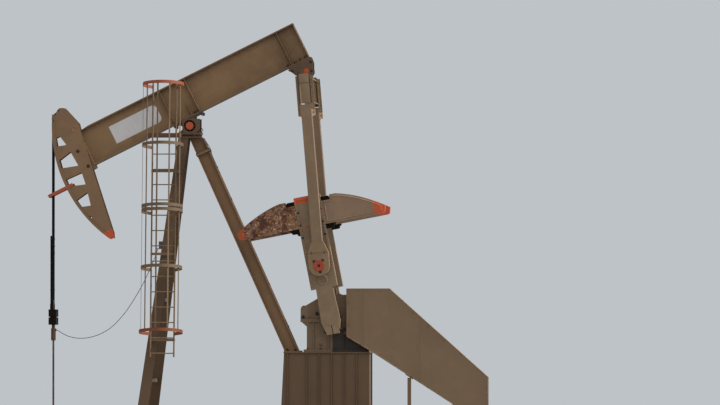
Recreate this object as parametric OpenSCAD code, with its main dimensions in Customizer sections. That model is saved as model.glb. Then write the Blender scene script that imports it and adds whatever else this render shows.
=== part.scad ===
/* [Linkage] */
// Height of the saddle pivot above the ground
pivot_h = 6550; // [6500:5:6600]
// Distance from the saddle pivot back to the slow shaft
shaft_x = 2850; // [2830:1:2870]
// Height of the slow shaft
shaft_h = 2684; // [2670:1:2720]
// Saddle pivot to tail bearing, along the beam
tail_reach = 2563; // [2545:1:2580]
// How far the tail bearing hangs below the line of the saddle pivot
tail_drop = 60; // [50:1:66]
// Slow shaft to wrist pin
crank_r = 1096; // [1080:1:1120]
// Slow shaft to the spare wrist pin hole
spare_r = 812; // [790:1:830]
// Tail bearing to wrist pin
pitman_l = 3890; // [3870:1:3905]
// Angle of the cranks at rest, from level at the motor side
crank_rest = 101; // [96:0.5:108]

/* [Walking beam] */
// Underside of the beam above the saddle pivot
beam_seat = 150; // [145:1:180]
// Depth of the beam section
beam_depth = 765; // [700:5:800]
// Width of the beam flanges
beam_flange_w = 300; // [280:2:320]
// Thickness of the beam flanges
beam_flange_t = 26; // [20:1:32]
// Thickness of the beam web
beam_web_t = 16; // [12:1:22]
// Back end of the beam behind the saddle pivot
beam_back = 2737; // [2710:1:2800]
// Thickness of the beam stiffeners
stiff_t = 14; // [10:1:20]

/* [Horsehead] */
// Radius of the face that the wires lie on
head_r = 2720; // [2700:1:2760]
// Depth of the head, from its face back to the end of the beam
head_depth = 670; // [660:5:700]
// Angle of the face below the line of the beam
head_arc = 28.4; // [27:0.1:29]
// Thickness of the side plates
head_plate_t = 12; // [8:1:16]
// Thickness of the face plate
head_face_t = 16; // [12:1:24]
// How far the face plate stands past the side plates
face_lip = 26; // [15:1:40]
// Height of the guide strips along the edges of the face
guide_h = 30; // [24:1:40]
// Thickness of the guide strips
guide_t = 10; // [8:1:14]

/* [Wires and rod] */
// Radius of one bridle wire
wire_r = 13; // [10:0.5:16]
// Half the distance between the two bridle wires
wire_y = 130; // [110:1:135]
// Height where each wire is doubled, at rest
splice_h = 4370; // [4200:10:4500]
// Underside of the carrier at rest
carrier_h = 2604; // [2560:1:2660]
// Height of each of the two carrier bars
carrier_t = 152; // [130:1:160]
// Depth of the carrier bars, front to back
carrier_w = 150; // [120:1:160]
// Radius of the polished rod
rod_r = 19.05; // [16:0.05:20]
// Lower end of the polished rod at rest
rod_low = 300; // [250:10:400]
// Height of the load cell and rod clamp
clamp_t = 240; // [200:5:260]
// Radius of the rod clamp
clamp_r = 47; // [40:1:55]

/* [Bearings] */
// Radius of the saddle and tail shafts
pivot_shaft_r = 60; // [50:1:70]
// Outer radius of the saddle and tail bearing barrels
barrel_r = 105; // [95:1:108]
// Half length of the bearing barrels
barrel_half = 130; // [120:1:140]
// Thickness of the lugs that hold the bearing shafts
lug_t = 50; // [40:1:60]
// Radius of the end caps over the bearing shafts
cap_r = 81; // [72:1:90]

/* [Equalizer and pitmans] */
// Top of the equalizer below the tail bearing
equal_top = 150; // [130:1:180]
// Depth of the equalizer section
equal_depth = 490; // [450:5:520]
// Width of the equalizer section
equal_w = 200; // [180:2:220]
// Middle of each pitman, out from the centre of the machine
pitman_y = 1075; // [1070:1:1100]
// Width of the pitman flanges, front to back
pitman_w = 212; // [190:2:230]
// Depth of the pitman section, side to side
pitman_d = 160; // [140:2:170]
// Length of the fork plates at the top of each pitman
fork_l = 820; // [760:5:860]
// Thickness of the fork plates
fork_t = 24; // [18:1:28]
// Radius of the wrist bearing housings
wrist_housing_r = 203; // [190:1:215]
// Radius of the wrist pins
wrist_pin_r = 62; // [50:1:70]

/* [Cranks and counterweights] */
// Inner face of the cranks, out from the centre of the machine
crank_in = 710; // [705:1:720]
// Thickness of the cranks
crank_t = 205; // [190:1:210]
// Slow shaft to the outer end of the cranks
crank_end = 2500; // [2450:5:2510]
// Width of the outer part of the cranks
crank_w = 530; // [500:2:540]
// Width of the inner part of the cranks
crank_neck_w = 340; // [330:2:360]
// Radius of the slow shaft
slow_r = 95; // [85:1:105]
// Outer radius of the counterweights about the slow shaft
weight_r = 2510; // [2460:5:2515]
// Slow shaft to the flat edge of the counterweights
weight_flat = 1886; // [1860:2:1920]
// How far each counterweight reaches to the side of the crank's middle
weight_reach = 1462; // [1420:2:1500]
// Thickness of the counterweights
weight_t = 215; // [190:1:225]

/* [Gear reducer] */
// Half width of the gear reducer
reducer_half = 400; // [380:2:410]
// Front of the reducer ahead of the slow shaft
reducer_front = 628; // [613:1:643]
// Back of the reducer behind the slow shaft
reducer_back = 890; // [877:1:907]
// High speed shaft behind the slow shaft
fast_dx = 710; // [700:1:717]
// Radius of the high speed shaft
fast_r = 45; // [38:1:50]
// Height of the reducer above the slow shaft
cover_h = 510; // [490:1:530]
// Radius of the large belt sheave
big_sheave_r = 385; // [360:1:390]
// Radius of the brake drum
drum_r = 270; // [240:1:290]

/* [Riser and skid] */
// Height of the skid beams
skid_h = 420; // [380:5:460]
// Middle of each skid rail, out from the centre of the machine
rail_y = 545; // [530:1:550]
// Width of the skid rails
rail_w = 200; // [180:2:210]
// Back end of the skid
skid_back = 6150; // [6100:10:6300]
// Top of the riser above the ground
riser_top = 2060; // [2040:1:2080]
// Front end of the riser
riser_front = 1900; // [1880:5:1910]
// Back end of the riser
riser_back = 3590; // [3580:5:3640]
// Half width of the riser between its side plates
riser_half = 490; // [470:2:500]

/* [Posts] */
// Top of the post cap below the saddle pivot
cap_drop = 140; // [130:1:150]
// Thickness of the post cap
cap_t = 100; // [80:2:120]
// Width of the front leg flanges, front to back
leg_w = 200; // [180:2:220]
// Depth of the front legs, side to side
leg_d = 160; // [140:2:180]
// Middle of each front leg at the cap, out from the centre of the machine
leg_top_y = 175; // [165:1:185]
// Middle of each front leg at the skid, out from the centre of the machine
leg_foot_y = 1225; // [1150:5:1260]
// Middle of the front legs at the skid, ahead of the saddle pivot
leg_foot_x = 910; // [880:5:940]
// Depth of the rear leg, front to back
rear_leg_w = 262; // [240:2:280]
// Width of the rear leg flanges, side to side
rear_leg_d = 250; // [220:2:270]

/* [Ladder and cage] */
// Middle of the ladder ahead of the saddle pivot
ladder_x = 450; // [435:5:470]
// Width of the ladder between its rail centres
ladder_w = 466; // [440:2:480]
// Lower end of the ladder above the ground
ladder_low = 1960; // [1900:5:1980]
// Length of the ladder rails
ladder_l = 5480; // [5400:5:5500]
// Lean of the ladder from upright
ladder_lean = 6.7; // [6:0.1:7]
// Distance of the ladder from the centre of the machine at its lower end
ladder_low_y = 1290; // [1270:2:1310]
// Spacing of the rungs
rung_gap = 305; // [300:1:310]
// Radius of the cage
cage_r = 408; // [390:1:420]
// Width of the cage bands
band_h = 62; // [50:1:70]
// Thickness of the cage bands and straps
band_t = 8; // [6:0.5:10]

/* [Drive] */
// Middle of the motor shaft behind the saddle pivot
motor_x = 5500; // [5460:5:5540]
// How far the motor shaft is below the slow shaft
motor_drop = 1384; // [1360:2:1410]
// Radius of the motor body
motor_r = 235; // [215:1:245]
// Length of the motor body
motor_l = 760; // [700:5:780]
// Radius of the small belt sheave
small_sheave_r = 120; // [100:1:140]
// Width of both belt sheaves
sheave_w = 130; // [110:1:140]
// Inner edge of the belt guard, out from the centre of the machine
guard_in = 455; // [450:1:460]
// Depth of the belt guard, side to side
guard_d = 200; // [180:1:205]
// Thickness of the guard's sheet
guard_t = 4; // [3:0.5:8]

/* [Hidden] */
// Clearance between pieces that lie on each other on curved faces
seat = 0.3;
// Clearance of a shaft in its bearing
run = 0.05;
// Clearance between pieces that move past each other
gap = 10;
$fn = 72;

// The linkage is closed at rest by the crank angle and the pitman length
wrist_x = shaft_x + crank_r * cos(crank_rest);
wrist_z = shaft_h + crank_r * sin(crank_rest);
wrist_far = norm([wrist_x, wrist_z - pivot_h]);
rear_arm = norm([tail_reach, tail_drop]);
rear_cos = (pow(rear_arm, 2) + pow(wrist_far, 2) - pow(pitman_l, 2)) / (2 * rear_arm * wrist_far);
tail_angle = atan2(wrist_z - pivot_h, wrist_x) + acos(rear_cos);
beam_rest = tail_angle + atan2(tail_drop, tail_reach);
tail_x = rear_arm * cos(tail_angle);
tail_z = pivot_h + rear_arm * sin(tail_angle);
pitman_rest = atan2(wrist_x - tail_x, tail_z - wrist_z);

// Beam
beam_front = head_r - head_depth;
beam_top = beam_seat + beam_depth;
saddle_plate_t = beam_seat - barrel_r - gap * 1.5;
saddle_front = 245;
saddle_back = 305;
tail_plate_back = 30;
tail_plate_front = 300;
saddle_half_y = barrel_half + gap + lug_t;
clip_x = 140;
clip_h = 240;
nose_cut_l = 240;
nose_cut_h = 30;

// Horsehead, in the beam's own frame with the saddle pivot at 0, 0
head_in_y = beam_flange_w / 2 + seat;
head_out_y = head_in_y + head_plate_t;
face_half = head_out_y + face_lip;
core_r = head_r - head_face_t;
back_x = -beam_front + 88;
far_x = -beam_front - 1050;
// The wires have to leave the face below its upper end, and are held just above it
face_up = beam_rest + 2;
anchor_turn = face_up + 1.6;
head_outline = [
    [-beam_front - 30, 1434], [-beam_front - 121, 1479], [-beam_front - 284, 1401], [far_x, 1330],
    [far_x, -1322], [-beam_front - 302, -1322], [-beam_front - 262, -1225], [-beam_front - 67, 80],
    [back_x - 18, 950], [back_x, 1034],
];
// Where a level line meets the plates' edge, less the wall left outside a window
function wall_x(z, wall) = -sqrt(pow(core_r - wall, 2) - pow(z, 2));
head_windows = [
    [[wall_x(974, 16), 974], [-head_r + 306, 975], [-head_r + 350, 758], [wall_x(815, 25), 815]],
    [[wall_x(548, 15), 548], [-head_r + 360, 602], [-head_r + 380, 283], [wall_x(385, 14), 385]],
    [[wall_x(146, 12), 146], [-head_r + 378, 132], [-head_r + 345, -114], [wall_x(2, 8), -2]],
    [[wall_x(315, 2), -315], [-head_r + 309, -270], [-head_r + 250, -538], [wall_x(474, 2), -474]],
    [[wall_x(727, -4), -727], [-head_r + 178, -727], [wall_x(819, -6), -819]],
];
// Ties between the plates: distance ahead of the beam's end, height, radius
head_tie_places = [[90, 1400, 38], [190, 650, 30], [190, -200, 30], [370, -640, 30]];
window_corner = 12;
arm_reach = 426;
arm_in = 120;
arm_t = 58;
anchor_r = 26;
anchor_l = 120;
anchor_plate_t = 24;

// Wires
wire_x = -head_r - wire_r - seat;
carrier_top = carrier_h + 2 * carrier_t;
carrier_half = wire_y + 90;
carrier_slot = 14;
carrier_neck = 60;
clamp_gap = 71;
rod_over = 190;
rod_step = 0.5;

// Pitman frame: tail bearing at 0, 0 and the wrist pin straight below
equal_bottom = equal_top + equal_depth;
equal_mid = equal_top + equal_depth / 2;
equal_web = 16;
equal_flange = 24;
equal_half = pitman_y + pitman_d / 2;
fork_low = fork_l + 120;
bar_top = equal_bottom + 60;
flare = 470;
shoulder = 250;
pitman_in = pitman_y - pitman_d / 2;
pitman_out = pitman_y + pitman_d / 2;
housing_in = crank_in + crank_t + 45;
housing_out = pitman_out + 40;
pin_start = crank_in + crank_t + 5.5;
wrist_cap_r = 108;
wrist_cap_t = 22;

// Crank frame: slow shaft at 0, 0 and the crank along +X
crank_out = crank_in + crank_t;
neck_l = 655;
crank_low = 275;
crank_outline = [
    [-crank_low, -120], [-crank_low, 120], [-20, crank_neck_w / 2 + 18], [neck_l, crank_neck_w / 2 - 5],
    [neck_l, crank_w / 2], [crank_end - 12, crank_w / 2], [crank_end, crank_w / 2 - 12],
    [crank_end, 12 - crank_w / 2], [crank_end - 12, -crank_w / 2], [neck_l, -crank_w / 2],
    [neck_l, 5 - crank_neck_w / 2], [-20, -crank_neck_w / 2 - 18],
];
rim = 46;
pocket = 16;
pin_hole_r = wrist_pin_r - 8;
weight_in = (crank_in + crank_out) / 2 - weight_t / 2 - 16;
weight_out = weight_in + weight_t;
weight_top = 2446;
notch_l = 175;
foot_top = weight_top - 96;

// Reducer
split_t = 30;
lower_front = 505;
lower_bottom = riser_top + 50;
bore_gap = slow_r + run;
fast_x = shaft_x + fast_dx;
fast_h = shaft_h;
cover_outline = [
    [-reducer_front, 0], [-reducer_front, 236], [-307, 426], [-153, cover_h], [330, cover_h],
    [430, cover_h - 64], [reducer_back - 90, 250], [reducer_back, 190], [reducer_back, 0],
];
bearing_cap_r = 215;
bearing_cap_t = 34;
fast_cap_r = 105;
belt_y = -guard_in - guard_d / 2;
drum_w = 150;
drum_y = reducer_half + bearing_cap_t + 45;

// Skid
skid_flange_t = 22;
skid_web_t = 14;
sill_w = 250;
sill_half = leg_foot_y + 175;
sill_x = -leg_foot_x;
rail_front = sill_x + sill_w / 2;
cross_w = 180;
cross_half = rail_y - rail_w / 2;
cross_xs = [
    0, riser_front + 100, (riser_front + riser_back) / 2, riser_back - 100,
    motor_x - 250, motor_x + 250, skid_back - cross_w / 2,
];
anchor_hole_r = 14;
anchor_front = 400;
anchor_back = skid_back - 350;
riser_flange = 60;
riser_plate_t = 16;
riser_slope = 85;
rib_t = 16;
rib_pitch = 246;
rib_first = riser_front + 445;

// Posts
cap_z = pivot_h - cap_drop;
cap_low = cap_z - cap_t;
cap_front = 222;
cap_back = 225;
cap_half = leg_top_y + leg_d / 2 + 10;
leg_top_x = -118;
foot_t = 30;
rear_top_x = 130;
rear_foot_x = riser_front + 122;
brace_zs = [1500, 3100, 4700];
brace_w = 70;
brace_t = 8;

// Ladder frame: foot of the ladder at 0, 0, 0 and the rails along +Z
rail_r = 16;
rung_r = 11;
rung_first = 75;
rung_count = 14;
hoop_y = 330;
hoop_zs = [430, 1700, 2825, 2915, 4140, 5350];
low_flare = 24;
strap_w = 30;
strap_angles = [-84, -48, -11, 24, 63];
platform_z = cap_low;
platform_t = 80;
platform_front = 800;
platform_back = 150;
platform_in = head_out_y + 190;
platform_rise = platform_z + platform_t - ladder_low;
platform_out = ladder_low_y - platform_rise * tan(ladder_lean) - rail_r / cos(ladder_lean) - seat;
bracket_zs = [340, 2050, 3700];
bracket_h = 50;
bracket_t = 8;

// Drive
motor_h = shaft_h - motor_drop;
guard_x = shaft_x + 295;
guard_top = shaft_h + 632;
guard_low = shaft_h - 318;
guard_flat = 855;
guard_belly_x = guard_x + 490;
guard_belly = shaft_h - 614;
guard_end = motor_x + 450;
top_slope = 0.897;
low_slope = 0.644;
motor_y = -290;
stand_half_x = 290;
stand_top = motor_h - motor_r - 45;
stand_t = 40;
stand_leg = 80;
stand_near = -guard_in + gap;
stand_far = rail_y;
belt_t = 9;
belt_w = 10;
sheave_grooves = 4;
guard_post = 70;
guard_post_xs = [fast_x + 790, motor_x + 330];

// Load cell cable, from the cell to the box on the near front leg
cable_r = 6;
box_w = 70;
box_h = 150;
box_z = 4175;
cable_route = [
    [-2672, 0, 2500], [-2640, -8, 2490], [-2560, -30, 2440], [-2440, -65, 2380], [-2300, -105, 2345],
    [-2150, -145, 2335], [-2000, -185, 2350], [-1850, -225, 2390], [-1700, -265, 2455], [-1550, -305, 2550],
    [-1400, -345, 2690], [-1260, -385, 2850], [-1130, -425, 3030], [-1010, -465, 3220], [-900, -500, 3410],
    [-800, -530, 3610], [-715, -555, 3800], [-645, -572, 3960], [-600, -580, 4090],
];
cable_sides = 8;
gland = cable_route[len(cable_route) - 1] + [0, 0, cable_r * 0.4 + seat];
gland_r = 14;

tan_paint = "#a08a63";
dark_paint = "#75634a";
orange_paint = "#cf5a2c";
rust_paint = "#8a5a3a";
wire_black = "#2b2b2d";
steel_grey = "#8d8f92";

// Frames and small helpers

module on_beam() {
    translate([0, 0, pivot_h]) rotate([0, -beam_rest, 0]) children();
}

module on_pitman() {
    translate([tail_x, 0, tail_z]) rotate([0, -pitman_rest, 0]) children();
}

module on_crank() {
    translate([shaft_x, 0, shaft_h]) rotate([0, -crank_rest, 0]) children();
}

module on_ladder() {
    translate([-ladder_x, -ladder_low_y, ladder_low]) rotate([-ladder_lean, 0, 0]) children();
}

module both_sides() {
    children();
    mirror([0, 1, 0]) children();
}

// A profile drawn in X and Z, as thick as the stretch from y0 to y1
module across(y0, y1) {
    translate([0, max(y0, y1), 0]) rotate([90, 0, 0]) linear_extrude(abs(y1 - y0)) children();
}

// A profile drawn in Y and Z, as long as the stretch from x0 to x1
module along_x(x0, x1) {
    translate([x0, 0, 0]) rotate([90, 0, 90]) linear_extrude(x1 - x0) children();
}

module y_bar(r, y0, y1, x = 0, z = 0) {
    translate([x, min(y0, y1), z]) rotate([-90, 0, 0]) cylinder(r = r, h = abs(y1 - y0));
}

module box(low, high) {
    translate(low) cube(high - low);
}

module i_section(depth, width, web, flange) {
    d = depth / 2;
    w = width / 2;
    b = web / 2;
    f = d - flange;
    polygon([
        [-w, -d], [w, -d], [w, -f], [b, -f], [b, f], [w, f],
        [w, d], [-w, d], [-w, f], [-b, f], [-b, -f], [-w, -f],
    ]);
}

// A frame at p0 whose Z axis points to p1 and whose X axis stays in the XZ plane
module along(p0, p1) {
    d = p1 - p0;
    translate(p0) rotate([-asin(d.y / norm(d)), atan2(d.x, d.z), 0]) children();
}

// The outline with each corner rounded, as points
function rounded(pts, r) = [
    for (i = [0 : len(pts) - 1])
        let (
            p = pts[i],
            a = pts[(i + len(pts) - 1) % len(pts)] - p,
            b = pts[(i + 1) % len(pts)] - p,
            t = min(r / tan(acos((a * b) / (norm(a) * norm(b))) / 2), 0.42 * norm(a), 0.42 * norm(b)),
            s = p + a / norm(a) * t,
            e = p + b / norm(b) * t
        )
        for (k = [0 : 3])
            let (u = k / 3)
            s * pow(1 - u, 2) + p * 2 * u * (1 - u) + e * pow(u, 2)
];

// Skid

module skid_rail() {
    difference() {
        translate([rail_front, 0, skid_h / 2]) rotate([90, 0, 90])
            linear_extrude(skid_back - rail_front) i_section(skid_h, rail_w, skid_web_t, skid_flange_t);
        for (x = [anchor_front, anchor_back])
            translate([x, rail_w / 4, -1]) cylinder(r = anchor_hole_r, h = skid_flange_t + 2);
    }
}

module skid_rails() {
    color(tan_paint) both_sides() translate([0, rail_y, 0]) skid_rail();
}

module skid_cross_beams() {
    color(tan_paint) for (x = cross_xs)
        translate([x, cross_half, skid_h / 2]) rotate([90, 0, 0])
            linear_extrude(2 * cross_half) i_section(skid_h, cross_w, skid_web_t, skid_flange_t);
}

module front_sill() {
    color(tan_paint) difference() {
        union() {
            translate([sill_x, sill_half, skid_h / 2]) rotate([90, 0, 0])
                linear_extrude(2 * sill_half) i_section(skid_h, sill_w, skid_web_t, skid_flange_t);
            both_sides() for (y = [rail_y, leg_foot_y])
                translate([sill_x - sill_w / 2 + 8, y - stiff_t / 2, 1]) cube([sill_w - 16, stiff_t, skid_h - 2]);
        }
        both_sides() for (x = [-sill_w / 4 - 15, sill_w / 4 + 15])
            translate([sill_x + x, sill_half - 60, -1]) cylinder(r = anchor_hole_r, h = skid_flange_t + 2);
    }
}

// Riser under the reducer

module riser_side() {
    top = riser_top - skid_h;
    translate([0, 0, skid_h]) {
        across(riser_half - riser_plate_t, riser_half)
            polygon([[riser_front, top], [riser_back, top], [riser_back, 0], [riser_front - riser_slope, 0]]);
        translate([riser_front - riser_slope, riser_half - riser_plate_t, 0])
            cube([riser_back - riser_front + riser_slope, riser_plate_t + riser_flange, riser_plate_t]);
        for (i = [0 : 4])
            translate([rib_first + i * rib_pitch, riser_half - 1, 1])
                cube([rib_t, riser_flange - 9, top - riser_plate_t]);
        translate([riser_front + 60, riser_half - 1, 1]) cube([rib_t, riser_flange - 9, top - riser_plate_t]);
    }
}

module riser() {
    color(tan_paint) {
        both_sides() riser_side();
        box([riser_front - 8, -riser_half - riser_flange, riser_top - riser_plate_t - 6],
            [riser_back + 8, riser_half + riser_flange, riser_top]);
        for (x = [riser_front + 24, (riser_front + riser_back) / 2, riser_back - 40])
            box([x, -riser_half + 1, skid_h], [x + riser_plate_t, riser_half - 1, riser_top - 10]);
    }
}

// Posts

module front_leg() {
    foot = [sill_x, leg_foot_y, skid_h + foot_t];
    top = [leg_top_x, leg_top_y, cap_low];
    color(tan_paint) {
        intersection() {
            along(foot - (top - foot) * 0.02, top + (top - foot) * 0.02)
                linear_extrude(norm(top - foot) * 1.04) i_section(leg_d, leg_w, 12, 16);
            box([-pivot_h, 0, skid_h + foot_t], [pivot_h, pivot_h, cap_low]);
        }
        translate([sill_x - sill_w / 2 + 5, leg_foot_y - 140, skid_h]) cube([sill_w - 10, 280, foot_t]);
    }
}

module front_leg_near() {
    mirror([0, 1, 0]) front_leg();
}

module front_leg_far() {
    front_leg();
}

function leg_x(z) = leg_top_x + (sill_x - leg_top_x) * (cap_low - z) / (cap_low - skid_h - foot_t);
function leg_y(z) = leg_top_y + (leg_foot_y - leg_top_y) * (cap_low - z) / (cap_low - skid_h - foot_t);

// Half distance between the inner faces of the legs, and from the middle to their outer faces. The faces
// also turn a little along X, so a piece that reaches half a width to each side stays clear by that much.
leg_rise = cap_low - skid_h - foot_t;
leg_splay = atan2(leg_foot_y - leg_top_y, leg_rise);
leg_run = leg_top_x - sill_x;
leg_face_turn = (leg_foot_y - leg_top_y) * leg_run / (pow(leg_run, 2) + pow(leg_rise, 2));
function leg_inner(z, half) = leg_y(z) - leg_d / 2 / cos(leg_splay) - half * leg_face_turn - seat;
function leg_outer(z, half) = leg_y(z) + leg_d / 2 / cos(leg_splay) + half * leg_face_turn + seat;

// A level strip between the legs, with its ends cut to their slope
module brace_strip(x0, x1, low, high) {
    low_y = leg_inner(low, brace_w / 2);
    high_y = leg_inner(high, brace_w / 2);
    along_x(x0, x1) polygon([[-low_y, low], [low_y, low], [high_y, high], [-high_y, high]]);
}

module leg_braces() {
    color(tan_paint) for (z = brace_zs) {
        x = leg_x(z) - brace_w / 2;
        brace_strip(x, x + brace_w, z - brace_w / 2, z - brace_w / 2 + brace_t);
        brace_strip(x + brace_w - brace_t, x + brace_w, z - brace_w / 2, z + brace_w / 2);
    }
}

module rear_leg() {
    foot = [rear_foot_x, 0, riser_top + foot_t];
    top = [rear_top_x, 0, cap_low];
    run_l = norm(top - foot);
    splice = 0.927 * run_l;
    color(tan_paint) {
        intersection() {
            along(foot - (top - foot) * 0.05, top + (top - foot) * 0.05)
                linear_extrude(run_l * 1.1) rotate(90) i_section(rear_leg_w, rear_leg_d, 14, 20);
            box([-pivot_h, -pivot_h, riser_top + foot_t], [pivot_h, pivot_h, cap_low]);
        }
        along(foot, top) translate([-rear_leg_w / 2 - 14, -rear_leg_d / 2 - 14, splice])
            cube([rear_leg_w + 28, rear_leg_d + 28, 40]);
        translate([rear_foot_x - 150, -190, riser_top]) cube([345, 380, foot_t]);
    }
}

module post_cap() {
    color(dark_paint) {
        box([-cap_front, -cap_half, cap_z - 34], [cap_back, cap_half, cap_z]);
        box([-cap_front, -cap_half, cap_low], [cap_back, cap_half, cap_low + 24]);
        for (y = [-leg_top_y, 0, leg_top_y])
            box([-cap_front + 10, y - 12, cap_low + 20], [cap_back - 10, y + 12, cap_z - 30]);
        for (x = [-cap_front + 70, rear_top_x - 40])
            box([x, -cap_half + 8, cap_low + 20], [x + 20, cap_half - 8, cap_z - 30]);
    }
}

module centre_bearing() {
    base_h = cap_drop;
    color(tan_paint) translate([0, 0, pivot_h]) difference() {
        union() {
            y_bar(barrel_r, -barrel_half, barrel_half);
            across(-barrel_half + 8, barrel_half - 8)
                polygon([
                    [-barrel_r, 0], [barrel_r, 0], [125, 24 - base_h],
                    [125, -base_h], [-125, -base_h], [-125, 24 - base_h],
                ]);
            box([-175, -barrel_half, -base_h], [175, barrel_half, 28 - base_h]);
        }
        y_bar(pivot_shaft_r + run, -saddle_half_y, saddle_half_y);
    }
}

module service_platform() {
    arm_y = -cap_half;
    color(dark_paint) {
        for (y = [-platform_in - 8, -platform_out])
            box([-platform_front, y, platform_z], [-platform_back, y + 8, platform_z + platform_t]);
        for (x = [-platform_front, -platform_back - 8])
            box([x, -platform_out, platform_z], [x + 8, -platform_in, platform_z + platform_t]);
        for (i = [1 : 11])
            translate([-platform_front + i * (platform_front - platform_back) / 12 - 3, -platform_out + 4, platform_z + 30])
                cube([6, platform_out - platform_in - 8, platform_t - 34]);
        box([-cap_front + 12, -platform_in - 4, platform_z + 4], [-platform_back - 4, arm_y, platform_z + 14]);
        box([-cap_front + 12, -platform_in - 4, platform_z + 4], [-cap_front + 22, arm_y, platform_z + platform_t - 4]);
    }
}

// Ladder and cage

module ladder() {
    color(tan_paint) on_ladder() {
        for (s = [-1, 1])
            translate([s * ladder_w / 2, 0, 0]) cylinder(r = rail_r, h = ladder_l, $fn = 16);
        for (i = [0 : rung_count - 1])
            translate([-ladder_w / 2, 0, rung_first + i * rung_gap]) rotate([0, 90, 0])
                cylinder(r = rung_r, h = ladder_w, $fn = 12);
    }
}

// One hoop: a band round the climber with two returns to the rails
module hoop(r) {
    end_x = r * cos(25);
    end_y = hoop_y - r * sin(25);
    difference() {
        translate([0, -hoop_y, 0]) cylinder(r = r, h = band_h);
        translate([0, -hoop_y, -1]) cylinder(r = r - band_t, h = band_h + 2);
        translate([-r - 1, -end_y, -1]) cube([2 * r + 2, r, band_h + 2]);
    }
    for (s = [-1, 1])
        linear_extrude(band_h) polygon([
            [s * end_x, -end_y - 2], [s * (end_x - band_t - 3), -end_y - 2],
            [s * (ladder_w / 2 + rail_r + seat), -band_t / 2 - 10],
            [s * (ladder_w / 2 + rail_r + seat), band_t / 2 + 4],
            [s * (ladder_w / 2 + rail_r + 10), band_t / 2 + 4],
        ]);
}

module cage_hoops() {
    color(tan_paint) on_ladder() for (i = [0 : len(hoop_zs) - 1])
        translate([0, 0, hoop_zs[i]]) hoop(cage_r + (i == 0 ? low_flare : 0));
}

module cage_straps() {
    low = hoop_zs[0];
    high = hoop_zs[len(hoop_zs) - 1] + band_h;
    r = sqrt(pow(cage_r - band_t - seat, 2) - pow(strap_w / 2, 2));
    color(tan_paint) on_ladder() translate([0, -hoop_y, 0]) for (a = strap_angles)
        rotate(a - 90) translate([r - band_t, -strap_w / 2, low]) cube([band_t, strap_w, high - low]);
}

// From the middle of the machine to the inner side of the ladder rails
function ladder_inner(z) = ladder_low_y - (z - ladder_low) * tan(ladder_lean) - rail_r / cos(ladder_lean) - seat;

module ladder_brackets() {
    h = bracket_h / 2;
    t = bracket_t;
    pad_half = 58;
    color(tan_paint) for (s = bracket_zs) {
        z = ladder_low + s * cos(ladder_lean);
        x = leg_x(z);
        low_x = min(-ladder_x - ladder_w / 2 - 20, x - pad_half);
        high_x = max(-ladder_x + ladder_w / 2 + 20, x + pad_half);
        rail = [-ladder_inner(z - h), -ladder_inner(z + h)];
        leg = [-leg_outer(z - h, pad_half), -leg_outer(z + h, pad_half)];
        along_x(low_x, high_x)
            polygon([[rail[0], z - h], [rail[1], z + h], [rail[1] + t, z + h], [rail[0] + t, z - h]]);
        along_x(x - pad_half, x + pad_half)
            polygon([[leg[0], z - h], [leg[1], z + h], [leg[1] - t, z + h], [leg[0] - t, z - h]]);
        for (dx = [t - pad_half, pad_half - 2 * t])
            along_x(x + dx, x + dx + t) polygon([
                [rail[0] + t / 2, z - h], [rail[1] + t / 2, z + h],
                [leg[1] - t / 2, z + h], [leg[0] - t / 2, z - h],
            ]);
    }
}

// Gear reducer

module reducer_lower() {
    color(tan_paint) difference() {
        union() {
            across(-reducer_half, reducer_half) translate([shaft_x, shaft_h]) polygon([
                [-lower_front, -10], [-lower_front, lower_bottom - shaft_h],
                [riser_back - shaft_x - 40, lower_bottom - shaft_h],
                [reducer_back - 30, -160], [reducer_back - 30, -10],
            ]);
            box([shaft_x - reducer_front, -reducer_half - 36, shaft_h - split_t],
                [shaft_x + reducer_back, reducer_half + 36, shaft_h]);
            across(-reducer_half - 20, reducer_half + 20) translate([shaft_x, shaft_h]) polygon([
                [-reducer_front + 10, -20], [-lower_front - 1, -120],
                [-lower_front + 40, -120], [-lower_front + 40, -20],
            ]);
            box([shaft_x - lower_front - 60, -reducer_half - 50, riser_top],
                [riser_back - 10, reducer_half + 50, lower_bottom + 2]);
            for (x = [-383, -83, 217, 517])
                box([shaft_x + x, -reducer_half - 30, riser_top + 20], [shaft_x + x + 20, reducer_half + 30, shaft_h - 10]);
        }
        y_bar(bore_gap, -reducer_half - 60, reducer_half + 60, shaft_x, shaft_h);
        y_bar(fast_r + run, -reducer_half - 60, reducer_half + 60, fast_x, fast_h);
    }
}

module reducer_cover() {
    color(tan_paint) difference() {
        union() {
            across(-reducer_half, reducer_half) translate([shaft_x, shaft_h]) polygon(cover_outline);
            box([shaft_x - reducer_front, -reducer_half - 36, shaft_h],
                [shaft_x + reducer_back, reducer_half + 36, shaft_h + split_t]);
            box([shaft_x - 63, -170, shaft_h + cover_h - 5], [shaft_x + 157, 170, shaft_h + cover_h + 14]);
            for (s = [-1, 1])
                translate([shaft_x - reducer_front + 60, s * 250, shaft_h + 236]) rotate([90, 0, 0])
                    translate([0, 0, -10]) cylinder(r = 62, h = 20);
        }
        y_bar(bore_gap, -reducer_half - 60, reducer_half + 60, shaft_x, shaft_h);
        y_bar(fast_r + run, -reducer_half - 60, reducer_half + 60, fast_x, fast_h);
    }
}

module end_cap(r, bore, x, z) {
    face = reducer_half + 36 + seat;
    difference() {
        y_bar(r, face, face + bearing_cap_t, x, z);
        y_bar(bore, face - 1, face + bearing_cap_t + 1, x, z);
    }
}

module reducer_caps() {
    color(dark_paint) both_sides() {
        end_cap(bearing_cap_r, bore_gap + 2, shaft_x, shaft_h);
        end_cap(fast_cap_r, fast_r + 2, fast_x, fast_h);
    }
}

module fast_shaft() {
    color(steel_grey) y_bar(fast_r, belt_y - sheave_w / 2 - 15, drum_y + drum_w + 12, fast_x, fast_h);
}

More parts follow.
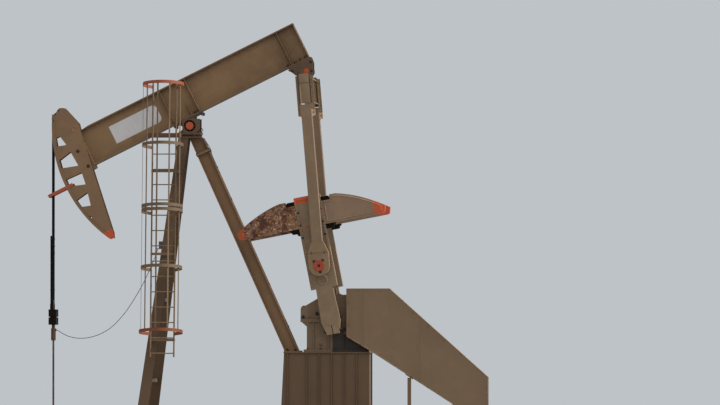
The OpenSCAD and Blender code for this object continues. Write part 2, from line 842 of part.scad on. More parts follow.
// A grooved wheel about the Y axis
module sheave(r, bore) {
    pitch = sheave_w / sheave_grooves;
    difference() {
        rotate([-90, 0, 0]) rotate_extrude() polygon(concat(
            [[bore, -sheave_w / 2], [r, -sheave_w / 2]],
            [for (i = [0 : sheave_grooves - 1]) each let (y = -sheave_w / 2 + i * pitch, w = belt_w / 2 + 1)
                [[r, y + 3], [r - belt_t, y + pitch / 2 - w], [r - belt_t, y + pitch / 2 + w], [r, y + pitch - 3]]],
            [[r, sheave_w / 2], [bore, sheave_w / 2]]
        ));
        if (r > 250)
            for (a = [0 : 72 : 359], s = [0, 1])
                rotate([0, a, 0]) translate([r * 0.56, s == 0 ? -sheave_w : 15, 0]) rotate([-90, 0, 0])
                    cylinder(r = r * 0.22, h = sheave_w - 15);
    }
}

module big_sheave() {
    color(dark_paint) translate([fast_x, belt_y, fast_h]) sheave(big_sheave_r, fast_r + seat);
}

module small_sheave() {
    color(dark_paint) translate([motor_x, belt_y, motor_h]) sheave(small_sheave_r, 30 + seat);
}

module brake_drum() {
    color(dark_paint) difference() {
        union() {
            y_bar(drum_r, drum_y, drum_y + drum_w, fast_x, fast_h);
            y_bar(drum_r + 14, drum_y, drum_y + 14, fast_x, fast_h);
        }
        y_bar(drum_r - 22, drum_y + 40, drum_y + drum_w + 1, fast_x, fast_h);
        y_bar(fast_r + seat, drum_y - 1, drum_y + drum_w + 1, fast_x, fast_h);
    }
    color(dark_paint) difference() {
        y_bar(fast_r + 40, drum_y + 39, drum_y + drum_w, fast_x, fast_h);
        y_bar(fast_r + seat, drum_y - 1, drum_y + drum_w + 1, fast_x, fast_h);
    }
}

// The outline of a belt that runs round both sheaves, as far out as grow
function belt_loop(grow) =
    let (
        far = [motor_x - fast_x, motor_h - fast_h],
        turn = atan2(far.y, far.x),
        rb = big_sheave_r + grow,
        rs = small_sheave_r + grow,
        wrap = acos((rb - rs) / norm(far))
    )
    concat(
        [for (i = [0 : 60]) let (a = turn + wrap + i / 60 * (360 - 2 * wrap)) rb * [cos(a), sin(a)]],
        [for (i = [0 : 40]) let (a = turn - wrap + i / 40 * 2 * wrap) far + rs * [cos(a), sin(a)]]
    );

module drive_belts() {
    pitch = sheave_w / sheave_grooves;
    color(wire_black) translate([fast_x, 0, fast_h]) for (i = [0 : sheave_grooves - 1]) {
        y = belt_y - sheave_w / 2 + (i + 0.5) * pitch;
        across(y - belt_w / 2, y + belt_w / 2) difference() {
            polygon(belt_loop(seat));
            polygon(belt_loop(seat - belt_t));
        }
    }
}

function guard_z(x) = guard_top - (x - guard_x - guard_flat) * top_slope;
function guard_under(x) = guard_belly - (x - guard_belly_x) * low_slope;

module guard_outline(inset) {
    offset(delta = -inset) polygon([
        [guard_x, guard_top], [guard_x + guard_flat, guard_top], [guard_end, guard_z(guard_end)],
        [guard_end, guard_under(guard_end)], [guard_belly_x, guard_belly], [guard_x, guard_low],
    ]);
}

module belt_guard() {
    back = -guard_in;
    front = back - guard_d;
    color(tan_paint) difference() {
        across(front, back) guard_outline(0);
        across(front + guard_t, back + 1) guard_outline(guard_t);
    }
    color(tan_paint) difference() {
        across(back - guard_t, back) guard_outline(guard_t / 2);
        across(back - guard_t - 1, back + 1) guard_outline(70);
    }
}

module guard_posts() {
    y = -rail_y;
    color(tan_paint) for (x = guard_post_xs) {
        box([x, y - guard_post / 2, skid_h], [x + guard_post, y + guard_post / 2, guard_under(x + guard_post) - 12]);
        across(y - guard_post / 2, y + guard_post / 2) polygon([
            [x - 40, guard_under(x - 40) - seat], [x + guard_post + 40, guard_under(x + guard_post + 40) - seat],
            [x + guard_post + 40, guard_under(x + guard_post + 40) - 20], [x - 40, guard_under(x - 40) - 20],
        ]);
        box([x - 30, y - 70, skid_h], [x + guard_post + 30, y + 70, skid_h + 14]);
    }
}

module motor() {
    fins = 30;
    end_y = motor_y + motor_l;
    color(dark_paint) translate([motor_x, 0, motor_h]) {
        y_bar(motor_r - 25, motor_y + 40, end_y - 60);
        translate([0, end_y - 150, 0]) rotate([90, 0, 0]) linear_extrude(motor_l - 240) {
            circle(r = motor_r - 22);
            for (a = [0 : 360 / fins : 359])
                rotate(a) translate([motor_r - 28, -3]) square([26, 6]);
        }
        y_bar(motor_r, motor_y, motor_y + 60);
        y_bar(motor_r, end_y - 130, end_y);
        y_bar(80, motor_y - 30, motor_y + 10);
        y_bar(30, belt_y - sheave_w / 2, motor_y);
        for (s = [-1, 1])
            box([s * 175 - 45, motor_y + 60, stand_top + 30 - motor_h], [s * 175 + 45, end_y - 150, -90]);
        box([-70, motor_y + 200, motor_r - 40], [70, motor_y + 380, motor_r + 75]);
    }
}

module motor_stand() {
    deck = stand_top - stand_t;
    color(tan_paint) {
        for (sx = [-1, 1], y = [stand_near, stand_far - stand_leg])
            translate([motor_x + sx * (stand_half_x - stand_leg / 2) - stand_leg / 2, y, skid_h])
                cube([stand_leg, stand_leg, deck - skid_h + 1]);
        box([motor_x - stand_half_x, stand_near, deck], [motor_x + stand_half_x, stand_far, stand_top]);
        for (s = [-1, 1])
            box([motor_x + s * 175 - 55, motor_y + 20, stand_top - 1],
                [motor_x + s * 175 + 55, motor_y + motor_l - 110, stand_top + 30]);
        for (y = [stand_near + stand_leg / 2, stand_far - stand_leg / 2])
            box([motor_x - stand_half_x + 20, y - 6, skid_h + 200], [motor_x + stand_half_x - 20, y + 6, skid_h + 280]);
    }
}

// Load cell cable

module cable_box() {
    x = leg_x(box_z) - leg_w / 2 - seat;
    y = -leg_y(box_z);
    color(steel_grey) {
        box([x - box_w, y - 45, box_z - box_h / 2], [x, y + 45, box_z + box_h / 2]);
        translate(gland) cylinder(r = gland_r, h = box_z - box_h / 2 - gland.z + 1, $fn = 24);
        box([gland.x - 20, min(gland.y - 15, y - 45), box_z - box_h / 2],
            [x, max(gland.y + 15, y + 45), box_z - box_h / 2 + 12]);
    }
}

module load_cell_cable() {
    n = len(cable_route);
    // Direction at each point, from its neighbours
    dirs = [for (i = [0 : n - 1]) let (d = cable_route[min(i + 1, n - 1)] - cable_route[max(i - 1, 0)]) d / norm(d)];
    side = [0, 1, 0];
    rings = [for (i = [0 : n - 1]) let (
        a = cross(dirs[i], side),
        u = a / norm(a),
        v = cross(dirs[i], u)
    ) for (k = [0 : cable_sides - 1])
        cable_route[i] + cable_r * (u * cos(360 * k / cable_sides) + v * sin(360 * k / cable_sides))];
    walls = [for (i = [0 : n - 2], k = [0 : cable_sides - 1]) let (m = (k + 1) % cable_sides)
        [i * cable_sides + k, (i + 1) * cable_sides + k, (i + 1) * cable_sides + m, i * cable_sides + m]];
    first = [for (k = [0 : cable_sides - 1]) k];
    last = [for (k = [cable_sides - 1 : -1 : 0]) (n - 1) * cable_sides + k];
    color(wire_black) polyhedron(points = rings, faces = concat([first], walls, [last]));
}

// Walking beam

module beam_stiffener(x, low, high) {
    for (s = [-1, 1])
        translate([x - stiff_t / 2, s > 0 ? beam_web_t / 2 - 1 : -beam_flange_w / 2 + 6, low])
            cube([stiff_t, beam_flange_w / 2 - beam_web_t / 2 - 5, high - low]);
}

module walking_beam() {
    inside = [beam_seat + beam_flange_t - 1, beam_top - beam_flange_t + 1];
    color(tan_paint) on_beam() difference() {
        union() {
            translate([-beam_front, 0, beam_seat + beam_depth / 2]) rotate([90, 0, 90])
                linear_extrude(beam_front + beam_back)
                i_section(beam_depth, beam_flange_w, beam_web_t, beam_flange_t);
            for (x = [-beam_front + stiff_t, -saddle_front, saddle_back, tail_reach - 213, beam_back - stiff_t])
                beam_stiffener(x, inside[0], inside[1]);
            beam_stiffener(clip_x, inside[0], inside[0] + clip_h);
        }
        across(-beam_flange_w, beam_flange_w) polygon([
            [-beam_front - 1, beam_top + 1], [-beam_front - 1, beam_top - nose_cut_h],
            [-beam_front + nose_cut_l, beam_top + 1],
        ]);
    }
}

// A bearing lug: round about the shaft and straight to its plate
module lug(top, half_w) {
    circle(r = barrel_r - 5);
    polygon([[-barrel_r + 5, 0], [-half_w, top], [half_w, top], [barrel_r - 5, 0]]);
}

module saddle() {
    color(tan_paint) on_beam() {
        low = beam_seat - saddle_plate_t;
        box([-saddle_front - 40, -saddle_half_y, low], [saddle_back + 40, saddle_half_y, beam_seat]);
        both_sides() across(barrel_half + gap, saddle_half_y) lug(low + 1, 190);
        y_bar(pivot_shaft_r, -saddle_half_y, saddle_half_y);
        both_sides() y_bar(cap_r, saddle_half_y - 1, saddle_half_y + 16);
    }
}

module tail_bearing() {
    plate_t = 30;
    color(tan_paint) on_beam() difference() {
        union() {
            box([tail_reach - tail_plate_front, -beam_flange_w / 2, beam_seat - plate_t],
                [beam_back + tail_plate_back, beam_flange_w / 2, beam_seat]);
            y_bar(barrel_r, -barrel_half, barrel_half, tail_reach, -tail_drop);
            across(-barrel_half + 8, barrel_half - 8) polygon([
                [tail_reach - barrel_r, -tail_drop],
                [tail_reach - tail_plate_front + 30, beam_seat - plate_t - 20],
                [tail_reach - tail_plate_front + 30, beam_seat - plate_t + 1],
                [beam_back + tail_plate_back - 20, beam_seat - plate_t + 1],
                [beam_back + tail_plate_back - 20, beam_seat - plate_t - 20],
                [tail_reach + barrel_r, -tail_drop],
            ]);
        }
        y_bar(pivot_shaft_r + run, -saddle_half_y, saddle_half_y, tail_reach, -tail_drop);
    }
}

// Horsehead

module head_profile(r) {
    intersection() {
        circle(r = r, $fn = 180);
        polygon(head_outline);
    }
}

module head_plates() {
    color(tan_paint) on_beam() both_sides() across(head_in_y, head_out_y) difference() {
        head_profile(core_r);
        for (w = head_windows)
            polygon(rounded(w, window_corner));
    }
}

module face_wedge() {
    far = 2 * head_r;
    polygon([[0, 0], [-far * cos(face_up), far * sin(face_up)], [-far, 0], [-far * cos(head_arc), -far * sin(head_arc)]]);
}

module arc_strip(r0, r1) {
    intersection() {
        difference() {
            circle(r = r1, $fn = 180);
            circle(r = r0, $fn = 180);
        }
        face_wedge();
    }
}

module head_face() {
    color(tan_paint) on_beam() {
        across(-face_half, face_half) arc_strip(core_r + seat, head_r);
        both_sides() across(face_half - guide_t, face_half) arc_strip(head_r - 1, head_r + guide_h);
    }
}

module head_ties() {
    y = head_in_y - seat;
    color(tan_paint) on_beam() {
        for (t = head_tie_places)
            y_bar(t[2], -y, y, -beam_front - t[0], t[1]);
        box([-beam_front - 12, -y, beam_seat], [-beam_front, y, beam_top]);
    }
}

module wire_guard() {
    color(orange_paint) on_beam() {
        both_sides() box([-head_r - arm_reach, face_half + seat, -arm_t / 2], [-head_r + arm_in, face_half + 13, arm_t / 2]);
        box([-head_r - arm_reach, -face_half - 13, -arm_t / 2], [-head_r - arm_reach + 12, face_half + 13, arm_t / 2]);
    }
}

module wire_anchor() {
    half_h = anchor_l / 2;
    color(dark_paint) on_beam() rotate([0, anchor_turn, 0]) translate([-core_r - seat, 0, 0]) {
        translate([-anchor_plate_t, -face_half + 20, -half_h + 10])
            cube([anchor_plate_t, 2 * face_half - 40, anchor_l - 20]);
        both_sides() translate([-head_face_t - wire_r, wire_y, -half_h])
            cylinder(r = anchor_r, h = anchor_l, $fn = 32);
    }
}

// Pitman assembly

module equalizer() {
    color(tan_paint) on_pitman() {
        translate([0, equal_half, -equal_mid]) rotate([90, 0, 0])
            linear_extrude(2 * equal_half) i_section(equal_depth, equal_w, equal_web, equal_flange);
        both_sides() {
            box([-equal_w / 2, equal_half - 20, -equal_bottom - 40], [equal_w / 2, equal_half, -equal_top + 60]);
            for (y = [420, 760])
                box([-equal_w / 2 + 6, y, -equal_bottom + 20], [equal_w / 2 - 6, y + stiff_t, -equal_top - 20]);
            difference() {
                across(barrel_half + gap, saddle_half_y) {
                    lug(-equal_top - 20, equal_w / 2);
                    polygon([
                        [-equal_w / 2 + 6, -equal_top - 10], [equal_w / 2 - 6, -equal_top - 10],
                        [equal_w / 2 - 6, -equal_bottom + 10], [-equal_w / 2 + 6, -equal_bottom + 10],
                    ]);
                }
                y_bar(pivot_shaft_r + seat, barrel_half, saddle_half_y + 1);
            }
        }
    }
}

module tail_shaft() {
    color(orange_paint) on_pitman() {
        y_bar(pivot_shaft_r, -saddle_half_y, saddle_half_y);
        both_sides() y_bar(cap_r, saddle_half_y + seat, saddle_half_y + 16);
        y_bar(30, -saddle_half_y - 2, saddle_half_y + 2);
    }
}

module pitman() {
    bar_low = pitman_l - flare;
    color(tan_paint) on_pitman() {
        translate([0, pitman_y, -bar_low]) linear_extrude(bar_low - bar_top)
            i_section(pitman_d, pitman_w, 14, 18);
        for (s = [-1, 1]) {
            x = s * (equal_w / 2 + seat + fork_t / 2);
            box([x - fork_t / 2, pitman_in, -fork_low], [x + fork_t / 2, pitman_out, -fork_low + fork_l]);
            box([s > 0 ? x : x - fork_t - 34, pitman_y - 10, -fork_low + 12],
                [s > 0 ? x + fork_t + 34 : x, pitman_y + 10, -fork_low + fork_l - 12]);
            box([s > 0 ? x - fork_t : x - fork_t / 2, pitman_in + 2, -fork_low + 10],
                [s > 0 ? x + fork_t / 2 : x + fork_t, pitman_out - 2, -bar_top - 20]);
        }
        box([-pitman_w / 2, pitman_in, -bar_top - 20], [pitman_w / 2, pitman_out, -bar_top]);
    }
}

module pitman_near() {
    mirror([0, 1, 0]) pitman();
}

module pitman_far() {
    pitman();
}

module wrist_bearing() {
    translate([0, 0, -pitman_l]) difference() {
        across(housing_in, housing_out) {
            circle(r = wrist_housing_r);
            polygon([
                [-wrist_housing_r, 0], [wrist_housing_r, 0], [wrist_housing_r, shoulder],
                [pitman_w / 2 + 12, flare], [-pitman_w / 2 - 12, flare], [-wrist_housing_r, shoulder],
            ]);
        }
        y_bar(wrist_pin_r + seat, housing_in - 1, housing_out + 1);
    }
}

module wrist_bearings() {
    color(tan_paint) on_pitman() both_sides() wrist_bearing();
}

module wrist_pins() {
    color(orange_paint) on_pitman() both_sides() translate([0, 0, -pitman_l]) {
        y_bar(wrist_pin_r, pin_start, housing_out);
        y_bar(wrist_cap_r, housing_out + seat, housing_out + wrist_cap_t);
        y_bar(wrist_pin_r - 10, housing_out - 1, housing_out + 2);
    }
}

// Cranks and counterweights

module slow_shaft() {
    color(steel_grey) y_bar(slow_r, -crank_out - 12, crank_out + 12, shaft_x, shaft_h);
}

module crank() {
    inner = crank_w / 2 - rim;
    color(tan_paint) on_crank() difference() {
        across(crank_in, crank_out) polygon(crank_outline);
        difference() {
            across(crank_out - pocket, crank_out + 1)
                polygon([
                    [crank_r + 190, inner], [crank_end - 60, inner],
                    [crank_end - 60, -inner], [crank_r + 190, -inner],
                ]);
        }
        y_bar(slow_r + seat, crank_in - 1, crank_out + 1);
        for (x = [spare_r, crank_r])
            y_bar(pin_hole_r, crank_in - 1, crank_out + 1, x);
        box([-crank_low - 1, crank_in - 1, -7], [-slow_r + 5, crank_out + 1, 7]);
    }
}

module crank_near() {
    mirror([0, 1, 0]) crank();
}

module crank_far() {
    crank();
}

// One counterweight beside the crank; the side is 1 ahead of the crank and -1 behind it
module weight(side) {
    near = crank_w / 2 + seat;
    foot_t = 62;
    on_crank() {
        across(weight_in, weight_out) intersection() {
            circle(r = weight_r, $fn = 180);
            polygon([
                [weight_flat, side * near], [foot_top, side * near], [foot_top, side * (near + notch_l)],
                [weight_top, side * (near + notch_l)], [weight_top, side * (near + 300)],
                [weight_top + 200, side * (near + 300)], [weight_top + 200, side * (weight_reach + 200)],
                [weight_flat + 20, side * weight_reach], [weight_flat, side * (weight_reach - 40)],
            ]);
        }
        for (x = [weight_flat - 34, foot_top - 4])
            across(weight_in + 30, weight_out - 30) polygon([
                [x, side * near], [x + 38, side * near],
                [x + 38, side * (near + foot_t + 100)], [x, side * (near + foot_t + 100)],
            ]);
    }
}

module front_weights() {
    color(rust_paint) both_sides() weight(1);
}

module rear_weights() {
    color(tan_paint) both_sides() weight(-1);
}

// Bridle, carrier and rod

module bridle_wires() {
    color(wire_black) both_sides() translate([wire_x, wire_y, 0]) {
        translate([0, 0, carrier_top]) cylinder(r = wire_r, h = pivot_h - carrier_top, $fn = 24);
        translate([-2 * wire_r + 1, 0, carrier_top]) cylinder(r = wire_r, h = splice_h - carrier_top, $fn = 24);
    }
}

module carrier_bar() {
    color(wire_black) translate([wire_x, 0, 0]) difference() {
        union() {
            for (z = [carrier_h, carrier_h + carrier_t + carrier_slot / 2])
                box([-carrier_w / 2, -carrier_half, z], [carrier_w / 2, carrier_half, z + carrier_t - carrier_slot / 2]);
            box([-carrier_w / 2 + 12, -carrier_neck, carrier_h + 1], [carrier_w / 2 - 12, carrier_neck, carrier_top - 1]);
        }
        translate([0, 0, carrier_h - 1]) cylinder(r = rod_r + seat, h = 2 * carrier_t + 2);
    }
}

module rod_clamp() {
    top = carrier_h - clamp_gap;
    color(rust_paint) translate([wire_x, 0, 0]) difference() {
        union() {
            translate([0, 0, top - clamp_t]) cylinder(r = clamp_r, h = clamp_t);
            translate([0, 0, top - 1]) cylinder(r = rod_r + 14, h = clamp_gap + 1 - seat);
            box([0, -22, top - 60], [clamp_r + 12, 22, top - 8]);
        }
        translate([0, 0, top - clamp_t - 1]) cylinder(r = rod_r + seat, h = clamp_t + clamp_gap + 2);
    }
}

module polished_rod() {
    held = carrier_h - clamp_gap - clamp_t;
    color(steel_grey) translate([wire_x, 0, 0]) {
        translate([0, 0, rod_low]) cylinder(r = rod_r, h = held - rod_low);
        translate([0, 0, held - 1]) cylinder(r = rod_r - rod_step, h = carrier_top + rod_over - held + 1);
    }
}

skid_rails();
skid_cross_beams();
front_sill();
riser();
front_leg_near();
front_leg_far();
leg_braces();
rear_leg();
post_cap();
centre_bearing();
service_platform();
ladder();
cage_hoops();
cage_straps();
ladder_brackets();
reducer_lower();
reducer_cover();
reducer_caps();
fast_shaft();
big_sheave();
brake_drum();
belt_guard();
guard_posts();
drive_belts();
motor();
small_sheave();
motor_stand();
cable_box();
load_cell_cable();
walking_beam();
saddle();
tail_bearing();
head_plates();
head_face();
head_ties();
wire_guard();
wire_anchor();
equalizer();
tail_shaft();
pitman_near();
pitman_far();
wrist_bearings();
wrist_pins();
slow_shaft();
crank_near();
crank_far();
front_weights();
rear_weights();
bridle_wires();
carrier_bar();
rod_clamp();
polished_rod();
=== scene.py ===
from math import cos, radians, sin, sqrt

import bmesh
import bpy
from mathutils import Matrix, Vector


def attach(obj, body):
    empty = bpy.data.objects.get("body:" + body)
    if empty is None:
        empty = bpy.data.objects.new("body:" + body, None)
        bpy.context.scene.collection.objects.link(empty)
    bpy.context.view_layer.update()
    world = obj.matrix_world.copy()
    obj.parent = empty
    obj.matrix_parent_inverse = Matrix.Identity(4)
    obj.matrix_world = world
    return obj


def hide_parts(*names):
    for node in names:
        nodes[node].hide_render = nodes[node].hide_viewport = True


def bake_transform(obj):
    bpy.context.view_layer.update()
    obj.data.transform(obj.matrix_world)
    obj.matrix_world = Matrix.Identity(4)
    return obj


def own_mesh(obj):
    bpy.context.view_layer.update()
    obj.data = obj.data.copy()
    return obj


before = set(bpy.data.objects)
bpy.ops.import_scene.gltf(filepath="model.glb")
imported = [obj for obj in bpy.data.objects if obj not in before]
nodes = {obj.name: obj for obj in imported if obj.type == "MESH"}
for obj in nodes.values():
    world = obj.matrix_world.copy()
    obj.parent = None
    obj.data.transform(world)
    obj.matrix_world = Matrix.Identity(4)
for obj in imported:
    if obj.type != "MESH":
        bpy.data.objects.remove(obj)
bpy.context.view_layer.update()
scene = bpy.context.scene
shift = Matrix.Translation


def turned(at, axis, degrees):  # a frame at a point, turned about one axis
    return shift(at) @ Matrix.Rotation(radians(degrees), 4, axis)


# frames of the moving pieces at rest, the same as in the part's source
onBeam = turned((0, 0, 6.55), "Y", -26.4225)
onCrank = turned((2.850, 0, 2.684), "Y", -101.0)
onPitman = turned((2.32196, 0, 7.63677), "Y", -4.7025)
onLadder = turned((-0.450, -1.290, 1.960), "X", -6.7)
asBuilt = Matrix.Identity(4)
bodyFrame = {"beam": onBeam, "cranks": onCrank, "pitmans": onPitman}


# camera

cameraSet = {
    "middle": (3.3745, 0.0, 5.0266), "distance": 150.0, "lens": 378.1, "turn": 3.65, "rise": -1.22, "farthest": 400,
}


def makeCamera():
    turn, rise = radians(cameraSet["turn"]), radians(cameraSet["rise"])
    back = Vector((sin(turn) * cos(rise), -cos(turn) * cos(rise), sin(rise)))
    bpy.ops.object.camera_add(location=Vector(cameraSet["middle"]) + back * cameraSet["distance"])
    camera = bpy.context.object
    camera.name = "sideCamera"
    camera.rotation_euler = (-back).to_track_quat("-Z", "Y").to_euler()
    camera.data.lens = cameraSet["lens"]
    camera.data.clip_end = cameraSet["farthest"]
    scene.camera = camera


makeCamera()
print("camera made")


# shader maths

class Signal:
    def __init__(self, finish, socket):
        self.finish, self.socket = finish, socket

    def math(self, operation, *others):
        return self.finish.node("Math", dict(enumerate((self,) + others)), operation=operation)

    def __add__(self, other): return self.math("ADD", other)
    __radd__ = __add__
    def __sub__(self, other): return self.math("SUBTRACT", other)
    def __rsub__(self, other): return self.math("MULTIPLY", -1) + other
    def __mul__(self, other): return self.math("MULTIPLY", other)
    __rmul__ = __mul__
    def __pow__(self, other): return self.math("POWER", other)
    def __abs__(self): return self.math("ABSOLUTE")
    def most(self, other): return self.math("MAXIMUM", other)
    def part(self, name): return Signal(self.finish, self.socket.node.outputs[name])

    def step(self, low, high):  # 0 at low and 1 at high, smooth between
        return self.finish.node("MapRange", {"Value": self, "From Min": low, "From Max": high},
                                interpolation_type="SMOOTHSTEP")


class Finish:
    def __init__(self, name, at=asBuilt):
        self.material = bpy.data.materials.new(name)
        self.material.use_nodes = True
        self.tree = self.material.node_tree
        self.tree.nodes.clear()
        self.place = self.node("TexCoord", {}, "Object")
        if at is not asBuilt:  # the pattern lies in the piece's own frame
            self.place = self.node("Mapping", {
                "Vector": self.place, "Location": at.to_translation(), "Rotation": at.to_euler()}, vector_type="TEXTURE")
        parts = self.node("SeparateXYZ", {"Vector": self.place}, "X")
        self.x, self.y, self.z = parts, parts.part("Y"), parts.part("Z")
        normal = self.node("NewGeometry", {}, "Normal")
        self.upward = self.node("SeparateXYZ", {"Vector": normal}, "Z")

    def node(self, kind, values, output=0, **settings):
        made = self.tree.nodes.new("ShaderNode" + kind)
        for key, value in settings.items():
            setattr(made, key, value)
        for key, value in values.items():
            if isinstance(value, Signal):
                self.tree.links.new(value.socket, made.inputs[key])
            else:
                made.inputs[key].default_value = value
        return Signal(self, made.outputs[output])

    def noise(self, scale, detail, rough=0.55, stretch=None):
        place = self.place
        if stretch:
            place = self.node("VectorMath", {0: place, 1: stretch}, operation="MULTIPLY")
        return self.node("TexNoise", {"Vector": place, "Scale": scale, "Detail": detail, "Roughness": rough})

    def mix(self, amount, *tones):  # tones are signals or screen colours
        first, second = [shade(*tone) if isinstance(tone, tuple) else tone for tone in tones]
        return self.node("Mix", {0: amount, 6: first, 7: second}, 2, data_type="RGBA")

    def done(self, colour, rough, height, depth, metal=0.0, gloss=0.4):
        bump = self.node("Bump", {"Height": height, "Distance": depth}, "Normal")
        self.output(self.node("BsdfPrincipled", {
            "Base Color": colour, "Roughness": rough, "Metallic": metal, "Specular IOR Level": gloss,
            "Normal": bump}))
        return self.material

    def output(self, surface):
        out = self.tree.nodes.new("ShaderNodeOutputMaterial")
        self.tree.links.new(surface.socket, out.inputs["Surface"])


def shade(red, green, blue):  # a screen colour as the shader wants it
    parts = [c / 255 for c in (red, green, blue)]
    return tuple(c / 12.92 if c < 0.0404 else ((c + 0.055) / 1.055) ** 2.4 for c in parts) + (1.0,)


# masks for what is painted or dirtied in one place

def edge(value, at, soft=0.008):  # 1 where the value is past the given place
    return value.step(at - soft, at + soft)


def wobble(f, size):
    return (f.noise(3.5, 2) - 0.5) * size * 2


def ringMask(radius, x, z, band=None):  # a disc, or a ring, painted about a shaft
    def mask(f):
        away = ((f.x - x) ** 2 + (f.z - z) ** 2) ** 0.5
        inside = 1 - edge(away + wobble(f, 0.003), radius, 0.003)
        return inside if band is None else inside * edge(away + wobble(f, 0.004), radius - band, 0.006)
    return mask


def below(height, uneven=0.012, soft=0.006):  # all that lies below an uneven line
    return lambda f: 1 - edge(f.z + wobble(f, uneven), height, soft)


def weightFeet(f):  # the feet of the counterweights and their ends
    return edge(f.x, 2.449, 0.002).most(1 - edge(f.x, 1.883, 0.002))


# finishes

toneSet = {
    "dirt": (70, 50, 35), "dust": (168, 150, 124), "rust": (92, 48, 28), "deepRust": (58, 32, 22),
    "orange": (178, 76, 40), "orangeWorn": (132, 80, 52), "grease": (28, 25, 22),
}


def paintFinish(name, base, at, dirt, rust, accents=(), faded=0.3):
    f = Finish(name, at)
    broad, mottle, fine, grain = f.noise(0.7, 4), f.noise(4.2, 5, 0.6), f.noise(34, 4), f.noise(260, 2)
    streaks = f.noise(1.0, 4, 0.6, (11, 11, 0.9) if at is asBuilt else (5, 5, 5))
    specks = f.noise(95, 2).step(0.68, 0.76)
    colour = f.mix(broad.step(0.35, 0.72) * dirt * 0.6, base, toneSet["dirt"])
    colour = f.mix(mottle.step(0.42, 0.75) * faded, colour, [min(1, c * 1.45) for c in shade(*base)[:3]] + [1])
    for mask, tone in accents:
        # accents are paint, dirt, and painted light and shade, all broken up in patches
        patchy = (fine * 0.4 + mottle * 0.6).step(0.60, 0.68) * 0.55
        colour = f.mix(mask(f) * (1 - patchy), colour, tone)
    colour = f.mix(streaks.step(0.55, 0.82) * dirt * 0.45, colour, toneSet["dirt"])
    colour = f.mix(f.upward.step(0.35, 0.95) * (mottle * 0.7 + 0.15), colour, toneSet["dust"])
    flakes = (fine * 0.55 + broad * 0.45).step(0.66 - 0.10 * rust, 0.70 - 0.08 * rust)
    colour = f.mix(flakes.most(specks * 0.4) * min(1.0, 0.35 + rust), colour, toneSet["rust"])
    height = grain * 0.12 + mottle * 0.3 - flakes * 0.5
    return f.done(colour, mottle * 0.22 + 0.56 + flakes * 0.2, height, 0.0022)


def ironFinish(name, base, second, scale, metal=0.0, rough=0.5, wear=0.5, depth=0.003, gloss=0.4):
    f = Finish(name)
    blotch, fine, pits = f.noise(scale, 6, 0.65), f.noise(scale * 9, 4), f.noise(scale * 28, 2)
    colour = f.mix(blotch.step(0.5 - 0.2 * wear, 0.66) * 0.9, base, second)
    colour = f.mix(fine.step(0.5, 0.75) * 0.45, colour, toneSet["deepRust"])
    colour = f.mix(f.upward.step(0.6, 1.0) * fine * 0.6, colour, toneSet["dust"])
    return f.done(colour, blotch * 0.25 + rough, blotch * 0.5 + fine * 0.3 + pits * 0.2, depth, metal, gloss)


def scabFinish(name, at):  # paint that has flaked off over rust, in patches of several ages
    f = Finish(name, at)
    broad, patch, flake, fine = f.noise(2.2, 4), f.noise(7, 6, 0.7), f.noise(19, 5, 0.7), f.noise(27, 4, 0.6)
    dark = (flake * 0.4 + patch * 0.6).step(0.52, 0.58)
    colour = f.mix(patch.step(0.40, 0.60), (128, 96, 76), (94, 52, 36))
    colour = f.mix((flake * 0.6 + broad * 0.4).step(0.50, 0.56) * 0.9, colour, (146, 108, 66))
    colour = f.mix(dark * 0.85, colour, (62, 32, 24))
    colour = f.mix(fine.step(0.59, 0.65) * (1 - dark * 0.7) * 0.8, colour, (186, 166, 144))
    colour = f.mix((1 - fine.step(0.38, 0.44)) * 0.85, colour, (50, 27, 21))
    colour = f.mix(weightFeet(f), colour, toneSet["grease"])
    colour = f.mix(edge(f.z + wobble(f, 0.03), 1.36, 0.02) * 0.9, colour, (158, 72, 38))
    return f.done(colour, patch * 0.2 + 0.66, flake * 0.6 + fine * 0.4, 0.006)


def rubberFinish(name, base, scale):
    f = Finish(name)
    dust, grain = f.noise(scale, 4), f.noise(scale * 12, 2)
    colour = f.mix(dust.step(0.45, 0.8) * 0.5, base, (70, 64, 56))
    return f.done(colour, dust * 0.15 + 0.62, grain, 0.0006, gloss=0.3)


def plateFinish():
    f = Finish("whitePlate", onBeam)
    runs, grime = f.noise(2.0, 4, 0.6, (9, 1, 1.2)), f.noise(7, 4)
    colour = f.mix(runs.step(0.5, 0.85) * 0.35, (190, 189, 194), (142, 130, 116))
    colour = f.mix(grime.step(0.55, 0.8) * 0.25, colour, (128, 116, 104))
    return f.done(colour, grime * 0.2 + 0.35, grime, 0.0005)


def ropeFinish():
    f = Finish("greasyRope")
    patchy, grain = f.noise(9, 4), f.noise(120, 3)
    colour = f.mix(patchy.step(0.45, 0.75) * 0.5, (16, 15, 15), (38, 30, 26))
    return f.done(colour, grain * 0.3 + 0.6, grain, 0.0012, gloss=0.15)


